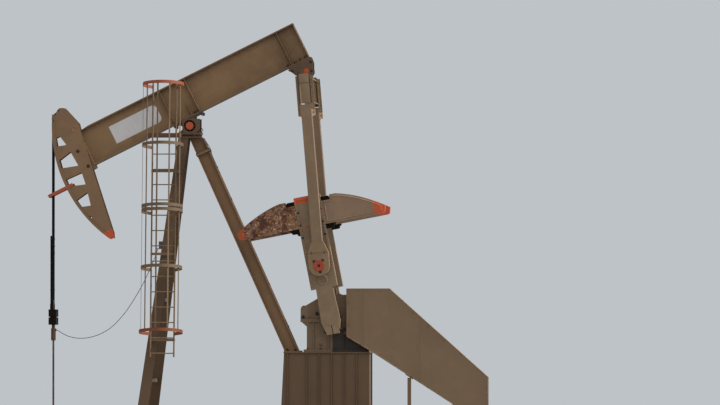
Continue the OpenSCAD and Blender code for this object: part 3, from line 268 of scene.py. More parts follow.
paintSet = {  # tone, frame, dirt, rust, and what is painted over it: paint, dirt, and painted light and shade
    "beam": ((126, 99, 69), onBeam, 0.75, 0.2, [
        # darker towards the top flange
        (lambda f: edge(f.z + wobble(f, 0.05), 0.84, 0.10) * 0.5, (84, 58, 40)),
        (lambda f: (1 - edge(f.z, 0.163, 0.004)) * 0.75, toneSet["dirt"])]),
    "head": ((117, 91, 66), onBeam, 0.6, 0.25, [
        (below(-1.135), toneSet["orange"]),
        (ringMask(0.055, -2.0875, 0.968, 0.016), (132, 88, 58))]),
    "face": ((117, 91, 66), onBeam, 0.9, 0.5, [
        (lambda f: (1 - edge(abs(abs(f.y) - 0.13), 0.028, 0.012)) * 0.8, toneSet["grease"]),  # under the ropes
        (below(-1.135), toneSet["orange"])]),
    "saddle": ((66, 50, 38), onBeam, 0.9, 0.4, [
        (lambda f: ringMask(0.075, 0, 0)(f) * edge(abs(f.y), 0.195, 0.002), toneSet["orange"])]),
    "tailBearing": ((84, 66, 48), onBeam, 0.9, 0.4),
    "rearLeg": ((122, 93, 66), asBuilt, 0.45, 0.15),
    # the front legs' paint made darker as painted shade
    "frontLeg": ((78, 57, 38), asBuilt, 0.8, 0.25),
    "base": ((110, 88, 67), asBuilt, 0.8, 0.35),
    "riser": ((88, 68, 48), asBuilt, 0.8, 0.3),
    "reducer": ((108, 89, 69), asBuilt, 0.8, 0.2, [  # painted shadow of the belt guard, low on the rear of the case's sides
        (lambda f: edge(f.x + wobble(f, 0.01), 2.855, 0.01) * (1 - edge(f.z, 2.55, 0.05)) * edge(abs(f.y), 0.39),
         (40, 33, 26))]),
    "cage": ((95, 77, 57), onLadder, 0.3, 0.2, [
        (lambda f: edge(f.z, 5.3), (140, 67, 40)),
        (lambda f: 1 - edge(f.z, 0.52), (112, 57, 30))]),
    "ladder": ((104, 84, 62), onLadder, 0.6, 0.3),
    "pitman": ((118, 97, 76), onPitman, 0.4, 0.12, [  # a painted highlight along the right edge, and painted shade in the slots beside the cover
        (lambda f: edge(f.x, 0.094, 0.002) * (1 - edge(f.z, -0.80, 0.02)) * 0.75, (186, 160, 140)),
        (lambda f: edge(abs(f.x), 0.096, 0.003) * (1 - edge(abs(f.x), 0.126, 0.004)) * edge(f.z, -0.68, 0.02)
         * edge(abs(f.y), 1.11, 0.01) * 0.85, (38, 24, 18))]),
    "equalizer": ((118, 97, 76), onPitman, 0.6, 0.2, [  # the cover's seam, and a painted highlight on its left edge
        (lambda f: edge(f.z, -0.286, 0.003) * (1 - edge(f.z, -0.266, 0.003)) * edge(abs(f.y), 1.15, 0.001) * 0.7,
         (66, 42, 27)),
        (lambda f: (1 - edge(f.x, -0.079, 0.002)) * (1 - edge(f.z, -0.34, 0.02))
         * edge(abs(f.y), 1.15, 0.001) * 0.6, (182, 156, 136))]),
    "wrist": ((122, 99, 74), onPitman, 0.7, 0.35),
    "crank": ((124, 104, 82), onCrank, 0.5, 0.25, [
        (lambda f: edge(f.x + wobble(f, 0.02), 2.375, 0.012) * edge(f.z, -0.12, 0.01), toneSet["orange"]),
        (ringMask(0.036, 1.90, 0.10), toneSet["orangeWorn"])]),
    "rearWeight": ((126, 103, 84), onCrank, 0.35, 0.3, [
        (below(-1.255, 0.01, 0.008), toneSet["orange"]), (weightFeet, toneSet["grease"])]),
    "cap": ((88, 62, 46), asBuilt, 0.7, 0.5),
    "bearing": ((88, 70, 52), asBuilt, 0.9, 0.4),
    "orange": ((150, 72, 44), onBeam, 0.5, 0.4),
    "pinCap": ((148, 58, 38), onPitman, 0.9, 0.6),
    "tailCap": ((180, 80, 38), onPitman, 0.6, 0.35),
    "motor": ((112, 96, 76), asBuilt, 0.8, 0.2),
}
ironSet = {  # name, two tones, and what differs from plain cast iron
    "sheave": ("sheaveIron", (70, 60, 50), (54, 38, 28), {"rough": 0.55, "scale": 9}),
    "carrier": ("carrierIron", (12, 11, 9), (24, 18, 13), {"rough": 0.85, "wear": 0.4, "scale": 14, "gloss": 0.15}),
    "clamp": ("clampIron", (74, 56, 42), (84, 46, 28), {"rough": 0.62, "scale": 22}),
    "bolt": ("boltIron", (38, 32, 28), (62, 38, 26), {"metal": 0.35, "scale": 30, "depth": 0.001}),
    "shaft": ("shaftSteel", (132, 124, 114), (92, 66, 48), {"rough": 0.38, "metal": 0.8, "wear": 0.2, "scale": 12}),
    "rod": ("rodSteel", (92, 76, 62), (70, 44, 32), {"rough": 0.34, "metal": 0.7, "wear": 0.6, "scale": 16}),
    "zinc": ("zincGrey", (84, 84, 82), (66, 64, 60), {"rough": 0.45, "metal": 0.5, "wear": 0.2, "scale": 20}),
}
finishes = {name: paintFinish(name + "Paint", *values) for name, values in paintSet.items()}
for name, (*values, rest) in ironSet.items():
    finishes[name] = ironFinish(*values, **rest)
finishes.update(
    guard=paintFinish("guardPaint", (112, 91, 70), asBuilt, 0.35, 0.12, faded=0.2),
    boltPaint=paintFinish("paintedBolts", (104, 84, 63), asBuilt, 0.6, 0.5),
    rubber=rubberFinish("beltRubber", (32, 31, 30), 12), sheath=rubberFinish("cableSheath", (34, 34, 34), 30),
    frontWeight=scabFinish("frontWeightRust", onCrank), plate=plateFinish(), rope=ropeFinish())

nodeFinish = {  # the finish of each piece that comes with the frame
    "base": "skid_rails skid_cross_beams front_sill guard_posts motor_stand", "riser": "riser",
    "frontLeg": "front_leg_near front_leg_far leg_braces", "rearLeg": "rear_leg", "cap": "post_cap service_platform",
    "bearing": "centre_bearing reducer_caps", "ladder": "ladder cage_straps ladder_brackets", "cage": "cage_hoops",
    "reducer": "reducer_lower reducer_cover", "shaft": "fast_shaft", "sheave": "big_sheave brake_drum small_sheave",
    "guard": "belt_guard", "rubber": "drive_belts", "motor": "motor", "zinc": "cable_box", "beam": "walking_beam",
    "saddle": "saddle", "tailBearing": "tail_bearing", "head": "head_plates head_ties wire_anchor", "face": "head_face",
    "orange": "wire_guard", "equalizer": "equalizer", "tailCap": "tail_shaft", "pitman": "pitman_near pitman_far",
    "wrist": "wrist_bearings", "pinCap": "wrist_pins", "crank": "slow_shaft crank_near crank_far",
    "frontWeight": "front_weights", "rearWeight": "rear_weights", "carrier": "carrier_bar", "clamp": "rod_clamp",
    "rod": "polished_rod", "rope": "bridle_wires", "sheath": "load_cell_cable",
}
for finishName, nodeNames in nodeFinish.items():
    for nodeName in nodeNames.split():
        slots = nodes[nodeName].data.materials
        for i in range(len(slots)):
            slots[i] = finishes[finishName]
        if not len(slots):
            slots.append(finishes[finishName])
print("finishes made:", len(finishes))


# modelling helpers

def selectOnly(*pieces):
    if bpy.context.object and bpy.context.object.mode != "OBJECT":
        bpy.ops.object.mode_set(mode="OBJECT")
    bpy.ops.object.select_all(action="DESELECT")
    for piece in pieces:
        piece.select_set(True)
    if pieces:
        bpy.context.view_layer.objects.active = pieces[0]


def settle():  # the new primitive gets its place into its mesh
    piece = bpy.context.object
    bpy.ops.object.transform_apply(location=True, rotation=True, scale=True)
    return piece


def facing(toward):  # turns +Z to a direction
    return Vector(toward).to_track_quat("Z", "Y").to_matrix().to_4x4()


def about(middle, half):
    return middle - half, middle + half


def drum(radius, depth, at=(0, 0, 0), toward=(0, 0, 1), sides=24):  # a cylinder standing on a point
    selectOnly()
    bpy.ops.mesh.primitive_cylinder_add(
        vertices=sides, radius=radius, depth=depth, rotation=facing(toward).to_euler(),
        location=Vector(at) + Vector(toward).normalized() * depth / 2)
    return settle()


def roundPair(radius, depth, at, sides, rim, *insets):  # round fittings that face outwards on both sides
    x, y, z = at
    pieces = []
    for side in (-1, 1):
        piece = drum(radius, depth, (x, side * y, z), (0, side, 0), sides)
        shape(piece, faceAlong((0, side, 0)), *[inset(*step) for step in insets])
        pieces.append(chamfer(piece, rim) if rim else piece)
    return pieces


def block(low, high):
    selectOnly()
    low, high = Vector(low), Vector(high)
    bpy.ops.mesh.primitive_cube_add(size=1, location=(low + high) / 2, scale=high - low)
    return settle()


def sideBlock(side, x, y, z):  # from the ranges of x, y and z, on one side of the unit
    low, high = sorted((side * y[0], side * y[1]))
    return block((x[0], low, z[0]), (x[1], high, z[1]))


def shape(piece, test, *steps, kind="FACE"):  # picks faces or edges by a test and runs the steps on them
    selectOnly(piece)
    bpy.ops.object.mode_set(mode="EDIT")
    bpy.ops.mesh.select_mode(type=kind)
    bpy.ops.mesh.select_all(action="DESELECT")
    mesh = bmesh.from_edit_mesh(piece.data)
    for item in (mesh.faces if kind == "FACE" else mesh.edges):
        item.select_set(bool(test(item)))
    bmesh.update_edit_mesh(piece.data)
    for step in steps:
        step()
    bpy.ops.object.mode_set(mode="OBJECT")
    return piece


def faceAlong(direction):
    direction = Vector(direction).normalized()
    return lambda face: face.normal.dot(direction) > 0.9


def anyOne(item):
    return True


def inset(width, depth=0.0):
    return lambda: bpy.ops.mesh.inset(thickness=width, depth=depth)


def extrude(*move):
    return lambda: bpy.ops.mesh.extrude_region_move(TRANSFORM_OT_translate={"value": move})


def normalsOut():
    bpy.ops.mesh.select_all(action="SELECT")
    bpy.ops.mesh.normals_make_consistent(inside=False)


def applied(piece, modifier):
    selectOnly(piece)
    bpy.ops.object.modifier_apply(modifier=modifier.name)
    return piece


def chamfer(piece, width, segments=1):
    bevel = piece.modifiers.new("edges", "BEVEL")
    bevel.width, bevel.segments, bevel.angle_limit = width, segments, radians(40)
    return applied(piece, bevel)


def roundWindow(plate, side, radius, at, sides):  # a hole for a shaft's cap
    x, y, z = at
    cutter = drum(radius, 0.1, (x, side * y, z), (0, side, 0), sides)
    hole = plate.modifiers.new("window", "BOOLEAN")
    hole.operation, hole.object, hole.solver = "DIFFERENCE", cutter, "EXACT"
    applied(plate, hole)
    remove(cutter)
    return chamfer(plate, 0.002)


def together(pieces):
    selectOnly(*pieces)
    if len(pieces) > 1:
        bpy.ops.object.join()
    return pieces[0]


def copyTo(piece, matrix):
    twin = piece.copy()
    twin.data = piece.data.copy()
    twin.data.transform(matrix)
    scene.collection.objects.link(twin)
    return twin


def mirrored(piece):  # the same on the far side
    twin = copyTo(piece, Matrix.Scale(-1, 4, (0, 1, 0)))
    twin.data.flip_normals()
    return twin


def give(pieces, name, body, finish, at=None, smooth=35):
    piece = together(pieces)  # the parts of one named piece
    piece.name = piece.data.name = name
    piece.data.transform(at or bodyFrame.get(body, asBuilt))
    piece.data.materials.clear()
    piece.data.materials.append(finishes[finish])
    selectOnly(piece)
    bpy.ops.object.shade_smooth_by_angle(angle=radians(smooth))
    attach(piece, body)
    return piece


def remove(piece):
    bpy.data.objects.remove(piece)


# bolts, all copied from one

boltSet = {"head": 0.87, "tall": 0.62, "washer": 1.15, "thick": 0.14, "out": 0.4}


def makeBolt(stud=True):  # for a bolt 1 m thick, on a surface at the origin, outwards along +Z
    b = boltSet
    washer = chamfer(drum(b["washer"], b["thick"], sides=14), 0.03)
    head = drum(b["head"], b["tall"], (0, 0, b["thick"]), sides=6)
    shape(head, faceAlong(up), inset(0.09, 0.06), inset(0.30 if stud else 0.2),
          *([extrude(0, 0, b["out"])] if stud else []))
    return together([head, washer])


def bolts(name, body, size, places, at=None, finish="bolt", slot="dark_paint", kind=None):
    copies = [copyTo(kind or bolt, shift(point) @ facing(toward) @ Matrix.Scale(size, 4))
              for point, toward in places]
    give(copies, name, body, finish, at, smooth=30)


def bothSides(places):  # the same places on the far side too
    return places + [((x, -y, z), (dx, -dy, dz)) for (x, y, z), (dx, dy, dz) in places]


def grid(xs, ys, zs, toward):  # places in rows
    return [((x, y, z), toward) for x in xs for y in ys for z in zs]


def circle(count, radius, x, y, z, toward):  # places round a shaft
    angles = [radians(360 * (i + 0.5) / count) for i in range(count)]
    return [((x + radius * cos(a), y, z + radius * sin(a)), toward) for a in angles]


near, far, up, down = (0, -1, 0), (0, 1, 0), (0, 0, 1), (0, 0, -1)
bolt, plainBolt = makeBolt(), makeBolt(False)
painted = {"finish": "boltPaint", "slot": "tan_paint"}


# load cell cable

cableSet = {
    "route": [
        (-2.672, 0, 2.5), (-2.64, -0.008, 2.49), (-2.56, -0.03, 2.44), (-2.44, -0.065, 2.38), (-2.3, -0.105, 2.345),
        (-2.15, -0.145, 2.335), (-2.0, -0.185, 2.35), (-1.85, -0.225, 2.39), (-1.7, -0.265, 2.455),
        (-1.55, -0.305, 2.55), (-1.4, -0.345, 2.69), (-1.26, -0.385, 2.85), (-1.13, -0.425, 3.03),
        (-1.01, -0.465, 3.22), (-0.9, -0.5, 3.41), (-0.8, -0.53, 3.61), (-0.715, -0.555, 3.8), (-0.645, -0.572, 3.96),
        (-0.6, -0.58, 4.09)],
    "radius": 0.006, "steps": 6,
}


def smoothLine(points, steps):  # a curve through all the points
    inner = [Vector(p) for p in points]
    ends = [2 * inner[0] - inner[1]] + inner + [2 * inner[-1] - inner[-2]]
    line = []
    for a, b, c, d in zip(ends, ends[1:], ends[2:], ends[3:]):
        for t in (k / steps for k in range(steps)):
            bend = (2 * a - 5 * b + 4 * c - d) * t ** 2 + (3 * b - a - 3 * c + d) * t ** 3
            line.append(0.5 * (2 * b + (c - a) * t + bend))
    return line + [inner[-1]]


def tube(points, radius, sides=4):  # a round tube along a line of points
    line = bpy.data.curves.new("line", "CURVE")
    line.dimensions, line.bevel_depth, line.bevel_resolution, line.use_fill_caps = "3D", radius, sides, True
    spline = line.splines.new("POLY")
    spline.points.add(len(points) - 1)
    for target, point in zip(spline.points, points):
        target.co = (*point, 1)
    piece = bpy.data.objects.new("tube", line)
    scene.collection.objects.link(piece)
    selectOnly(piece)
    bpy.ops.object.convert(target="MESH")
    return bpy.context.object


def makeCable():
    line = smoothLine(cableSet["route"], cableSet["steps"])
    length = sum((b - a).length for a, b in zip(line, line[1:]))
    cable = tube(line, cableSet["radius"])
    cable.name = cable.data.name = "cellCable"
    cable.data.materials.append(finishes["sheath"])
    selectOnly(cable)
    bpy.ops.object.shade_smooth()
    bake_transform(cable)
    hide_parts("load_cell_cable")
    return length


cableLength = makeCable()
print("cable made:", round(cableLength, 3), "m")


# ropes

ropeSet = {
    "radius": 0.0155, "lay": 0.15, "stepsPerTurn": 9, "y": 0.130, "x": -2.7360, "top": 6.55, "low": 2.908,
    "splice": 4.37, "clips": (4.31, 4.17, 4.03, 3.30), "lift": 2.4274, "faceRadius": 2.72, "faceArc": (-27.2, 29.4),
}


def twistedRope(length):  # six strands wound round each other, from the origin up
    s = ropeSet
    strands = []
    for i in range(6):
        angle, away = radians(60 * i), s["radius"] * 0.62
        selectOnly()
        bpy.ops.mesh.primitive_circle_add(vertices=6, radius=s["radius"] - away, fill_type="NOTHING",
                                          location=(away * cos(angle), away * sin(angle), 0))
        strands.append(settle())
    rope = together(strands)
    turns = length / s["lay"]
    wind = rope.modifiers.new("wind", "SCREW")
    wind.axis, wind.angle, wind.screw_offset = "Z", radians(360) * turns, length
    wind.steps = wind.render_steps = max(8, int(turns * s["stepsPerTurn"]))
    wind.use_merge_vertices = False
    applied(rope, wind)
    shape(rope, lambda edge: edge.is_boundary, bpy.ops.mesh.edge_face_add, kind="EDGE")
    return shape(rope, anyOne, normalsOut)


def makeBridle():
    s = ropeSet
    pieces = []
    for side in (-1, 1):
        for x, top in ((s["x"], s["top"]), (s["x"] - 2 * s["radius"] + 0.001, s["splice"])):
            rope = twistedRope(top - s["low"])
            rope.data.transform(shift((x, side * s["y"], s["low"])))
            pieces.append(rope)
        for z in s["clips"]:  # where the rope is doubled
            clip = sideBlock(side, (s["x"] - 0.045, s["x"] + 0.018), about(s["y"], 0.022), about(z, 0.014))
            pieces.append(chamfer(clip, 0.006, 2))
    bridle = give(pieces, "bridleRopes", "carrier", "rope", smooth=50)
    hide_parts("bridle_wires")
    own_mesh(bridle)


def makeFaceRopes():  # the part of each rope that lies on the head's face
    s = ropeSet
    reach = s["faceRadius"] + s["radius"]
    low, high = [radians(degrees) for degrees in s["faceArc"]]
    pieces = []
    for side in (-1, 1):
        rope = twistedRope(reach * (high - low))
        for v in rope.data.vertices:
            angle, away = low + v.co.z / reach, reach - v.co.x
            v.co = Vector((-away * cos(angle), side * s["y"] + v.co.y, away * sin(angle)))
        pieces.append(rope)
    both = shape(together(pieces), anyOne, normalsOut)
    give([both], "faceRopes", "beam", "rope", smooth=50)


def makeSockets():  # ferrules that hold the ropes in the carrier
    s = ropeSet
    pieces = []
    for (x, y, z), toward in grid((s["x"], s["x"] - 2 * s["radius"]), about(0, s["y"]), [s["low"] + 0.0003], up):
        pieces.append(shape(drum(0.020, 0.10, (x, y, z), toward, 20), faceAlong(up), inset(0.003, 0.012)))
    give(pieces, "ropeFerrules", "carrier", "carrier")


makeBridle()
makeFaceRopes()
makeSockets()
print("ropes made")


# plate on the beam

plateSet = {"x": (-1.468, -0.440), "z": (0.342, 0.714), "corner": 0.1, "thick": 0.002, "web": -0.008}


def makePlate():
    p = plateSet
    (x0, x1), (z0, z1) = p["x"], p["z"]
    front = p["web"] - p["thick"]
    plate = block((x0, front, z0), (x1, p["web"] - 0.0002, z1))
    shape(plate, lambda e: all(v.co.x > x1 - 0.01 for v in e.verts) and abs(e.verts[0].co.z - e.verts[1].co.z) < 0.001,
          lambda: bpy.ops.mesh.bevel(offset=p["corner"], segments=8, affect="EDGES"), kind="EDGE")
    shape(plate, faceAlong(near), inset(0.004, 0.0006))
    rivets = grid((x0 + 0.03, x1 - 0.08), [front], (z0 + 0.03, z1 - 0.03), near)
    rivets = [shape(drum(0.006, 0.0025, at, near, 10), faceAlong(near), inset(0.002, 0.001)) for at, _ in rivets]
    give([plate] + rivets, "beamPlate", "beam", "plate")


makePlate()


# beam and head

beamSet = {
    "bolts": (-0.24, 0.221, 0.30, 2.275, 2.437, 2.55, 2.667), "boltLine": -0.112, "top": 0.176,
    "nuts": ((2.275, -0.112), (2.667, -0.112), (-0.265, -0.160), (0.325, -0.160)), "under": 0.1197,
    "webs": (-2.036, -0.245, 0.305, 2.33, 2.723), "webEnds": (0.19, 0.88),
    "flanges": (0.179, 0.886), "flangeEnds": (-2.03, 2.72),
}
headSet = {
    "side": 0.1624, "pins": ((-2.220, 0.544), (-2.165, 0.188)), "clips": ((-2.209, 1.448), (-2.300, 1.408)),
    "clipLine": 0.175, "eye": (0.055, 0.005, (-2.0875, 0.1624, 0.968), 28, 0.0012, (0.016, 0), (0.003, -0.003)),
}


def weld(start, end, size):  # a bead with ripples along a joint
    start, end = Vector(start), Vector(end)
    bead = tube([start.lerp(end, i / 40) for i in range(41)], size, 2)
    along = (end - start).normalized()
    for v in bead.data.vertices:
        t = (v.co - start).dot(along)
        centre = start + along * t
        v.co = centre + (v.co - centre) * (0.86 + 0.14 * sin(t * 260))
    return bead


def makeBeamBolts():
    b, h = beamSet, headSet
    bolts("beamBolts", "beam", 0.040, bothSides(grid(b["bolts"], [b["boltLine"]], [b["top"]], up)))
    bolts("beamNuts", "beam", 0.040, bothSides([((x, y, b["under"]), down) for x, y in b["nuts"]]))
    bolts("headPins", "beam", 0.030, bothSides([((x, -h["side"], z), near) for x, z in h["pins"]]))


def makeWebWelds():
    b = beamSet
    (low, high), (x0, x1) = b["webEnds"], b["flangeEnds"]
    beads = []
    for side in (-1, 1):
        y = side * 0.011
        for x in [x for web in b["webs"] for x in about(web, 0.011)]:
            beads.append(weld((x, y, low), (x, y, high), 0.006))
        y = side * 0.012
        for z in b["flanges"]:
            beads.append(weld((x0, y, z), (x1, y, z), 0.007))
    give(beads, "beamWelds", "beam", "beam", smooth=60)


def makeHeadTrim():  # lifting eyes on the head, and small clips that keep the ropes on its face
    h = headSet
    give(roundPair(*h["eye"]), "headEyes", "beam", "head")
    tabs = []
    for x, z in h["clips"]:
        for side in (-1, 1):
            tab = sideBlock(side, about(x, 0.014), about(h["clipLine"], 0.008), about(z, 0.014))
            tabs.append(chamfer(tab, 0.004, 2))
    give(tabs, "ropeClips", "beam", "carrier")


makeBeamBolts()
makeWebWelds()
makeHeadTrim()
print("beam dressed")


# bearings

tailSet = {
    "pin": (2.563, -0.060), "radius": 0.14, "arc": (215, 330, 10), "window": 0.060, "y": (0.2170, 0.2250),
    "front": [(2.268, 0.1488), (2.262, 0.095), (2.330, -0.050), (2.428, -0.105)],
    "back": [(2.703, -0.070), (2.751, 0.029), (2.763, 0.1488)], "flange": (0.1212, 0.1488), "web": 0.1503,
    "studs": [(2.310, 0.055), (2.400, -0.052), (2.722, 0.058), (2.655, -0.108)],
}
wristSet = {
    "pin": -3.890, "face": 1.1952, "ring": 0.127, "bolts": (-46, 40, 172), "seam": -3.634, "half": 0.190,
    "cap": (0.102, 0.012, (0, 1.2172, -3.890), 40, 0.0018, (0.016, 0), (0.005, -0.004)),
    "hub": (0.026, 0.009, (0, 1.2204, -3.890), 32, 0, (0.006, 0.003), (0.008, 0), (0.003, -0.003)),
    "ticks": {-1: (0.004, 0.006), 1: (0, 0.010)},  # how far the tie bars stand out on each side
}
saddleSet = {
    "x": (-0.145, 0.205), "y": (0.2085, 0.2165), "z": (6.4102, 6.690), "window": 0.118, "wall": 0.008,
    "inner": 0.1925,
    "keeper": (0.114, 0.010, (0, 0.1903, 0), 32, 0, (0.012, 0.003)), "ring": (8, 0.097, 0, -0.2035, 0, near),
    "pin": (0, 0.16, 6.55),
}
hingeSet = {
    "block": ((-2.132, -0.125, 0.092), (-2.028, 0.125, 0.1497)),
    "plate": ((-2.118, -0.125, 0.1400), (-2.0503, 0.125, 0.520)),
}


def makeBearingCaps():  # a plate with a ring of small bolts on each end of the saddle
    give(roundPair(*saddleSet["keeper"]), "saddleKeepers", "beam", "carrier")
    bolts("saddleCapBolts", "beam", 0.011, bothSides(circle(*saddleSet["ring"])), kind=plainBolt)


def makeTailHousing():  # the tail bearing's end plates, each with a round window for the shaft's cap
    h = tailSet
    (px, pz), (start, end, steps), (inner, outer) = h["pin"], h["arc"], h["y"]
    arc = [radians(start + (end - start) * i / steps) for i in range(steps + 1)]
    curve = [(px + h["radius"] * cos(a), pz + h["radius"] * sin(a)) for a in arc]
    outline = h["front"] + curve + h["back"]
    pieces = []
    for side in (-1, 1):
        selectOnly()
        bpy.ops.mesh.primitive_circle_add(vertices=len(outline), radius=1, fill_type="NGON",
                                          rotation=(radians(90), 0, 0))
        plate = settle()
        for v, (x, z) in zip(plate.data.vertices, outline):
            v.co = (x, side * inner, z)
        shape(plate, anyOne, extrude(0, side * (outer - inner), 0), normalsOut)
        pieces.append(roundWindow(plate, side, h["window"], (px, 0.17, pz), 48))
        flange = sideBlock(side, (outline[0][0], outline[-1][0]), (h["web"], inner + 0.001), h["flange"])
        pieces.append(chamfer(flange, 0.002))
    give(pieces, "tailHousing", "beam", "tailBearing")
    studs = [((x, -outer - 0.0002, z), near) for x, z in h["studs"]]
    bolts("tailHousingBolts", "beam", 0.024, bothSides(studs))


def makeHeadHinge():  # the block under the beam's end that the head hangs on, and the plate on that end
    hinge, plate = block(*hingeSet["block"]), block(*hingeSet["plate"])
    shape(hinge, faceAlong(down), inset(0.014, 0.010))
    give([chamfer(hinge, 0.006, 2), chamfer(plate, 0.004, 2)], "headHinge", "beam", "head")


def makeWristDetails():
    w = wristSet
    angles = [radians(degrees) for degrees in w["bolts"]]
    places = [((w["ring"] * sin(a), -w["face"], w["pin"] + w["ring"] * cos(a)), near) for a in angles]
    bolts("wristBolts", "pitmans", 0.026, bothSides(places))
    give(roundPair(*w["cap"]), "wristCaps", "pitmans", "pinCap")
    give(roundPair(*w["hub"]), "wristHubs", "pitmans", "carrier")
    seams = []
    for side in (-1, 1):  # the split line above the housing, with the ends of its tie bars
        strip = sideBlock(side, about(0, w["half"]), (w["face"], w["face"] + 0.006), about(w["seam"], 0.006))
        seams.append(chamfer(strip, 0.0025, 2))
        out = [w["face"] + y for y in w["ticks"][side]]
        for x in (-0.13, 0.13):
            tick = sideBlock(side, about(x, 0.012), out, (w["seam"] - 0.03, w["seam"] + 0.04))
            seams.append(chamfer(tick, 0.003, 2))
    give(seams, "wristSeams", "pitmans", "bearing")


def makeSaddleHousing():  # the housing's end plates on the post cap, also with round windows
    h = saddleSet
    (x0, x1), (z0, z1), wall = h["x"], h["z"], h["wall"]
    pieces = []
    for side in (-1, 1):
        plate = sideBlock(side, h["x"], h["y"], h["z"])
        pieces.append(roundWindow(plate, side, h["window"], h["pin"], 56))
        for x in (x0 + 0.001, x1 - wall - 0.001):  # the side walls behind the plate
            behind = sideBlock(side, (x, x + wall), (h["inner"], h["y"][0] - 0.0002), (z0, z1 - 0.004))
            pieces.append(chamfer(behind, 0.0015))
    give(pieces, "saddleHousing", "root", "bearing")


makeBearingCaps()
makeTailHousing()
makeHeadHinge()
makeWristDetails()
makeSaddleHousing()
print("bearings dressed")


# cranks and weights

crankSet = {
    "out": 0.915, "half": 0.265, "teeth": (0.72, 2.28), "pitch": 0.062, "studs": (1.70, 1.95, 2.20),
    "clamp": (-0.20, 0.1285), "clampBolts": (-0.765, -0.86), "feet": (1.871, 2.365), "feetBolts": (-0.735, -0.85),
    "spare": (0.108, 0.014, (0.812, 0.9152, 0), 48, 0.002, (0.014, 0.004), (0.022, 0), (0.004, -0.016)),
}
rimSet = {
    "inner": 1.93, "foot": 0.315, "notch": 0.485, "step": 2.315, "outer": 2.405, "radius": 2.465, "end": 1.395,
    "size": 0.013, "face": 0.9042,
}
clampSet = {"x": (1.846, 2.382), "y": (-0.899, -0.694), "z": (0.2655, 0.405), "half": 0.05}


def makeRacks():  # the toothed strips along both edges of each crank
    c = crankSet
    start, end = c["teeth"]
    xs = [start + i * c["pitch"] for i in range(int((end - start) / c["pitch"]) + 1)]
    places = grid(xs, [c["out"] + 0.0002], about(0, c["half"] - 0.028), far)
    tooth = chamfer(block((-0.013, 0, -0.018), (0.013, 0.010, 0.018)), 0.003)
    one = together([copyTo(tooth, shift(at)) for at, _ in places])
    remove(tooth)
    give([one, mirrored(one)], "crankRacks", "cranks", "crank")


def makeCrankBolts():  # and the rings round the spare holes
    c = crankSet
    studs = grid(c["studs"], [-c["out"] - 0.0104], (-0.225, 0.225), near)
    bolts("crankStuds", "cranks", 0.020, bothSides(studs), kind=plainBolt)
    x, z = c["clamp"]
    clamp = [((x, y, s * z), (-0.19, 0, s)) for y in c["clampBolts"] for s in (-1, 1)]
    bolts("crankClampBolts", "cranks", 0.042, bothSides(clamp))
    feet = []  # the long T-bolts at the weights' feet
    for s in (-1, 1):
        feet += grid(c["feet"], c["feetBolts"], [s * (c["half"] + 0.1626)], (0, 0, s))
    bolts("weightBolts", "cranks", 0.034, bothSides(feet))
    give(roundPair(*c["spare"]), "spareHoleRings", "cranks", "crank")


def makeWeightRims():  # the raised cast border on the faces of the counterweights
    r = rimSet
    line = [(r["step"], r["foot"]), (r["step"], r["notch"])]
    for i in range(25):
        z = r["notch"] + (r["end"] - r["notch"]) * i / 24
        line.append((min(r["outer"], sqrt(r["radius"] ** 2 - z * z)), z))
    line += [(r["inner"] + 0.02, r["end"]), (r["inner"], r["end"] - 0.03), (r["inner"], r["foot"]), line[0]]
    for s, name, finish, slot in ((1, "frontWeightRims", "frontWeight", "rusty_iron"),
                                  (-1, "rearWeightRims", "rearWeight", "tan_paint")):
        beads = [tube([Vector((x, side * r["face"], s * z)) for x, z in line], r["size"], 1) for side in (-1, 1)]
        give(beads, name, "cranks", finish)


def makeWeightClamps():  # the dark forged clamps that hold the weights' feet on the crank's edges
    c = clampSet
    pieces = []
    for x in c["x"]:
        for s in (-1, 1):
            z0, z1 = sorted(s * z for z in c["z"])
            clamp = block((x - c["half"], c["y"][0], z0), (x + c["half"], c["y"][1], z1))
            shape(clamp, faceAlong((0, 0, s)), inset(0.016, 0.02))
            pieces.append(chamfer(clamp, 0.006, 2))
    one = together(pieces)
    give([one, mirrored(one)], "weightClamps", "cranks", "carrier")


makeRacks()
makeCrankBolts()
makeWeightRims()
makeWeightClamps()
print("cranks dressed")


# pitmans and equalizer

forkSet = {
    "half": 0.1247, "rows": (-0.20, -0.34, -0.78, -0.86), "columns": (1.03, 1.12),
    "x": (-0.092, 0.092), "y": (1.1552, 1.160), "z": (-0.66, -0.10),
}


def makeForkBolts():
    f = forkSet
    places = []
    for s in (-1, 1):
        places += grid([s * f["half"]], f["columns"], f["rows"], (s, 0, 0))
    bolts("forkBolts", "pitmans", 0.022, bothSides(places), **painted)
    covers = [shape(sideBlock(side, f["x"], f["y"], f["z"]), faceAlong((0, side, 0)), inset(0.006, 0.0015))
              for side in (-1, 1)]
    give(covers, "equalizerEnds", "pitmans", "equalizer")


makeForkBolts()
print("pitmans dressed")


# reducer

reducerSet = {
    "front": 2.222, "back": 3.740, "split": 2.684, "flange": 0.030, "slow": 2.850, "fast": 3.560, "capFace": 0.4705,
    "coverTop": 3.208, "flangeBolts": (-0.419, 0.075, 0.118), "big": (2.274, 2.752), "boss": (2.551, 2.823),
    "lid": (2.82, 2.897, 2.975), "base": (2.36, 2.62, 2.90, 3.20, 3.50), "breather": (2.897, 0, 3.208),
    "fittings": [  # a boss under the big bolt, a stud, the drain plug and the oil gauge
        (0.040, 0.026, (2.551, 0.4002, 2.823), 24, 0.0015, (0.003, 0)),
        (0.020, 0.014, (2.403, 0.4002, 2.744), 6, 0, (0.005, 0.004)),
        (0.030, 0.018, (2.62, 0.4002, 2.20), 6, 0, (0.010, 0.012)),
        (0.042, 0.020, (3.10, 0.4002, 2.44), 28, 0.0015, (0.010, 0.003), (0.003, -0.008))],
    "rings": ((2.850, 0.150, 0.104), (3.560, 0.060, 0.049)),
}


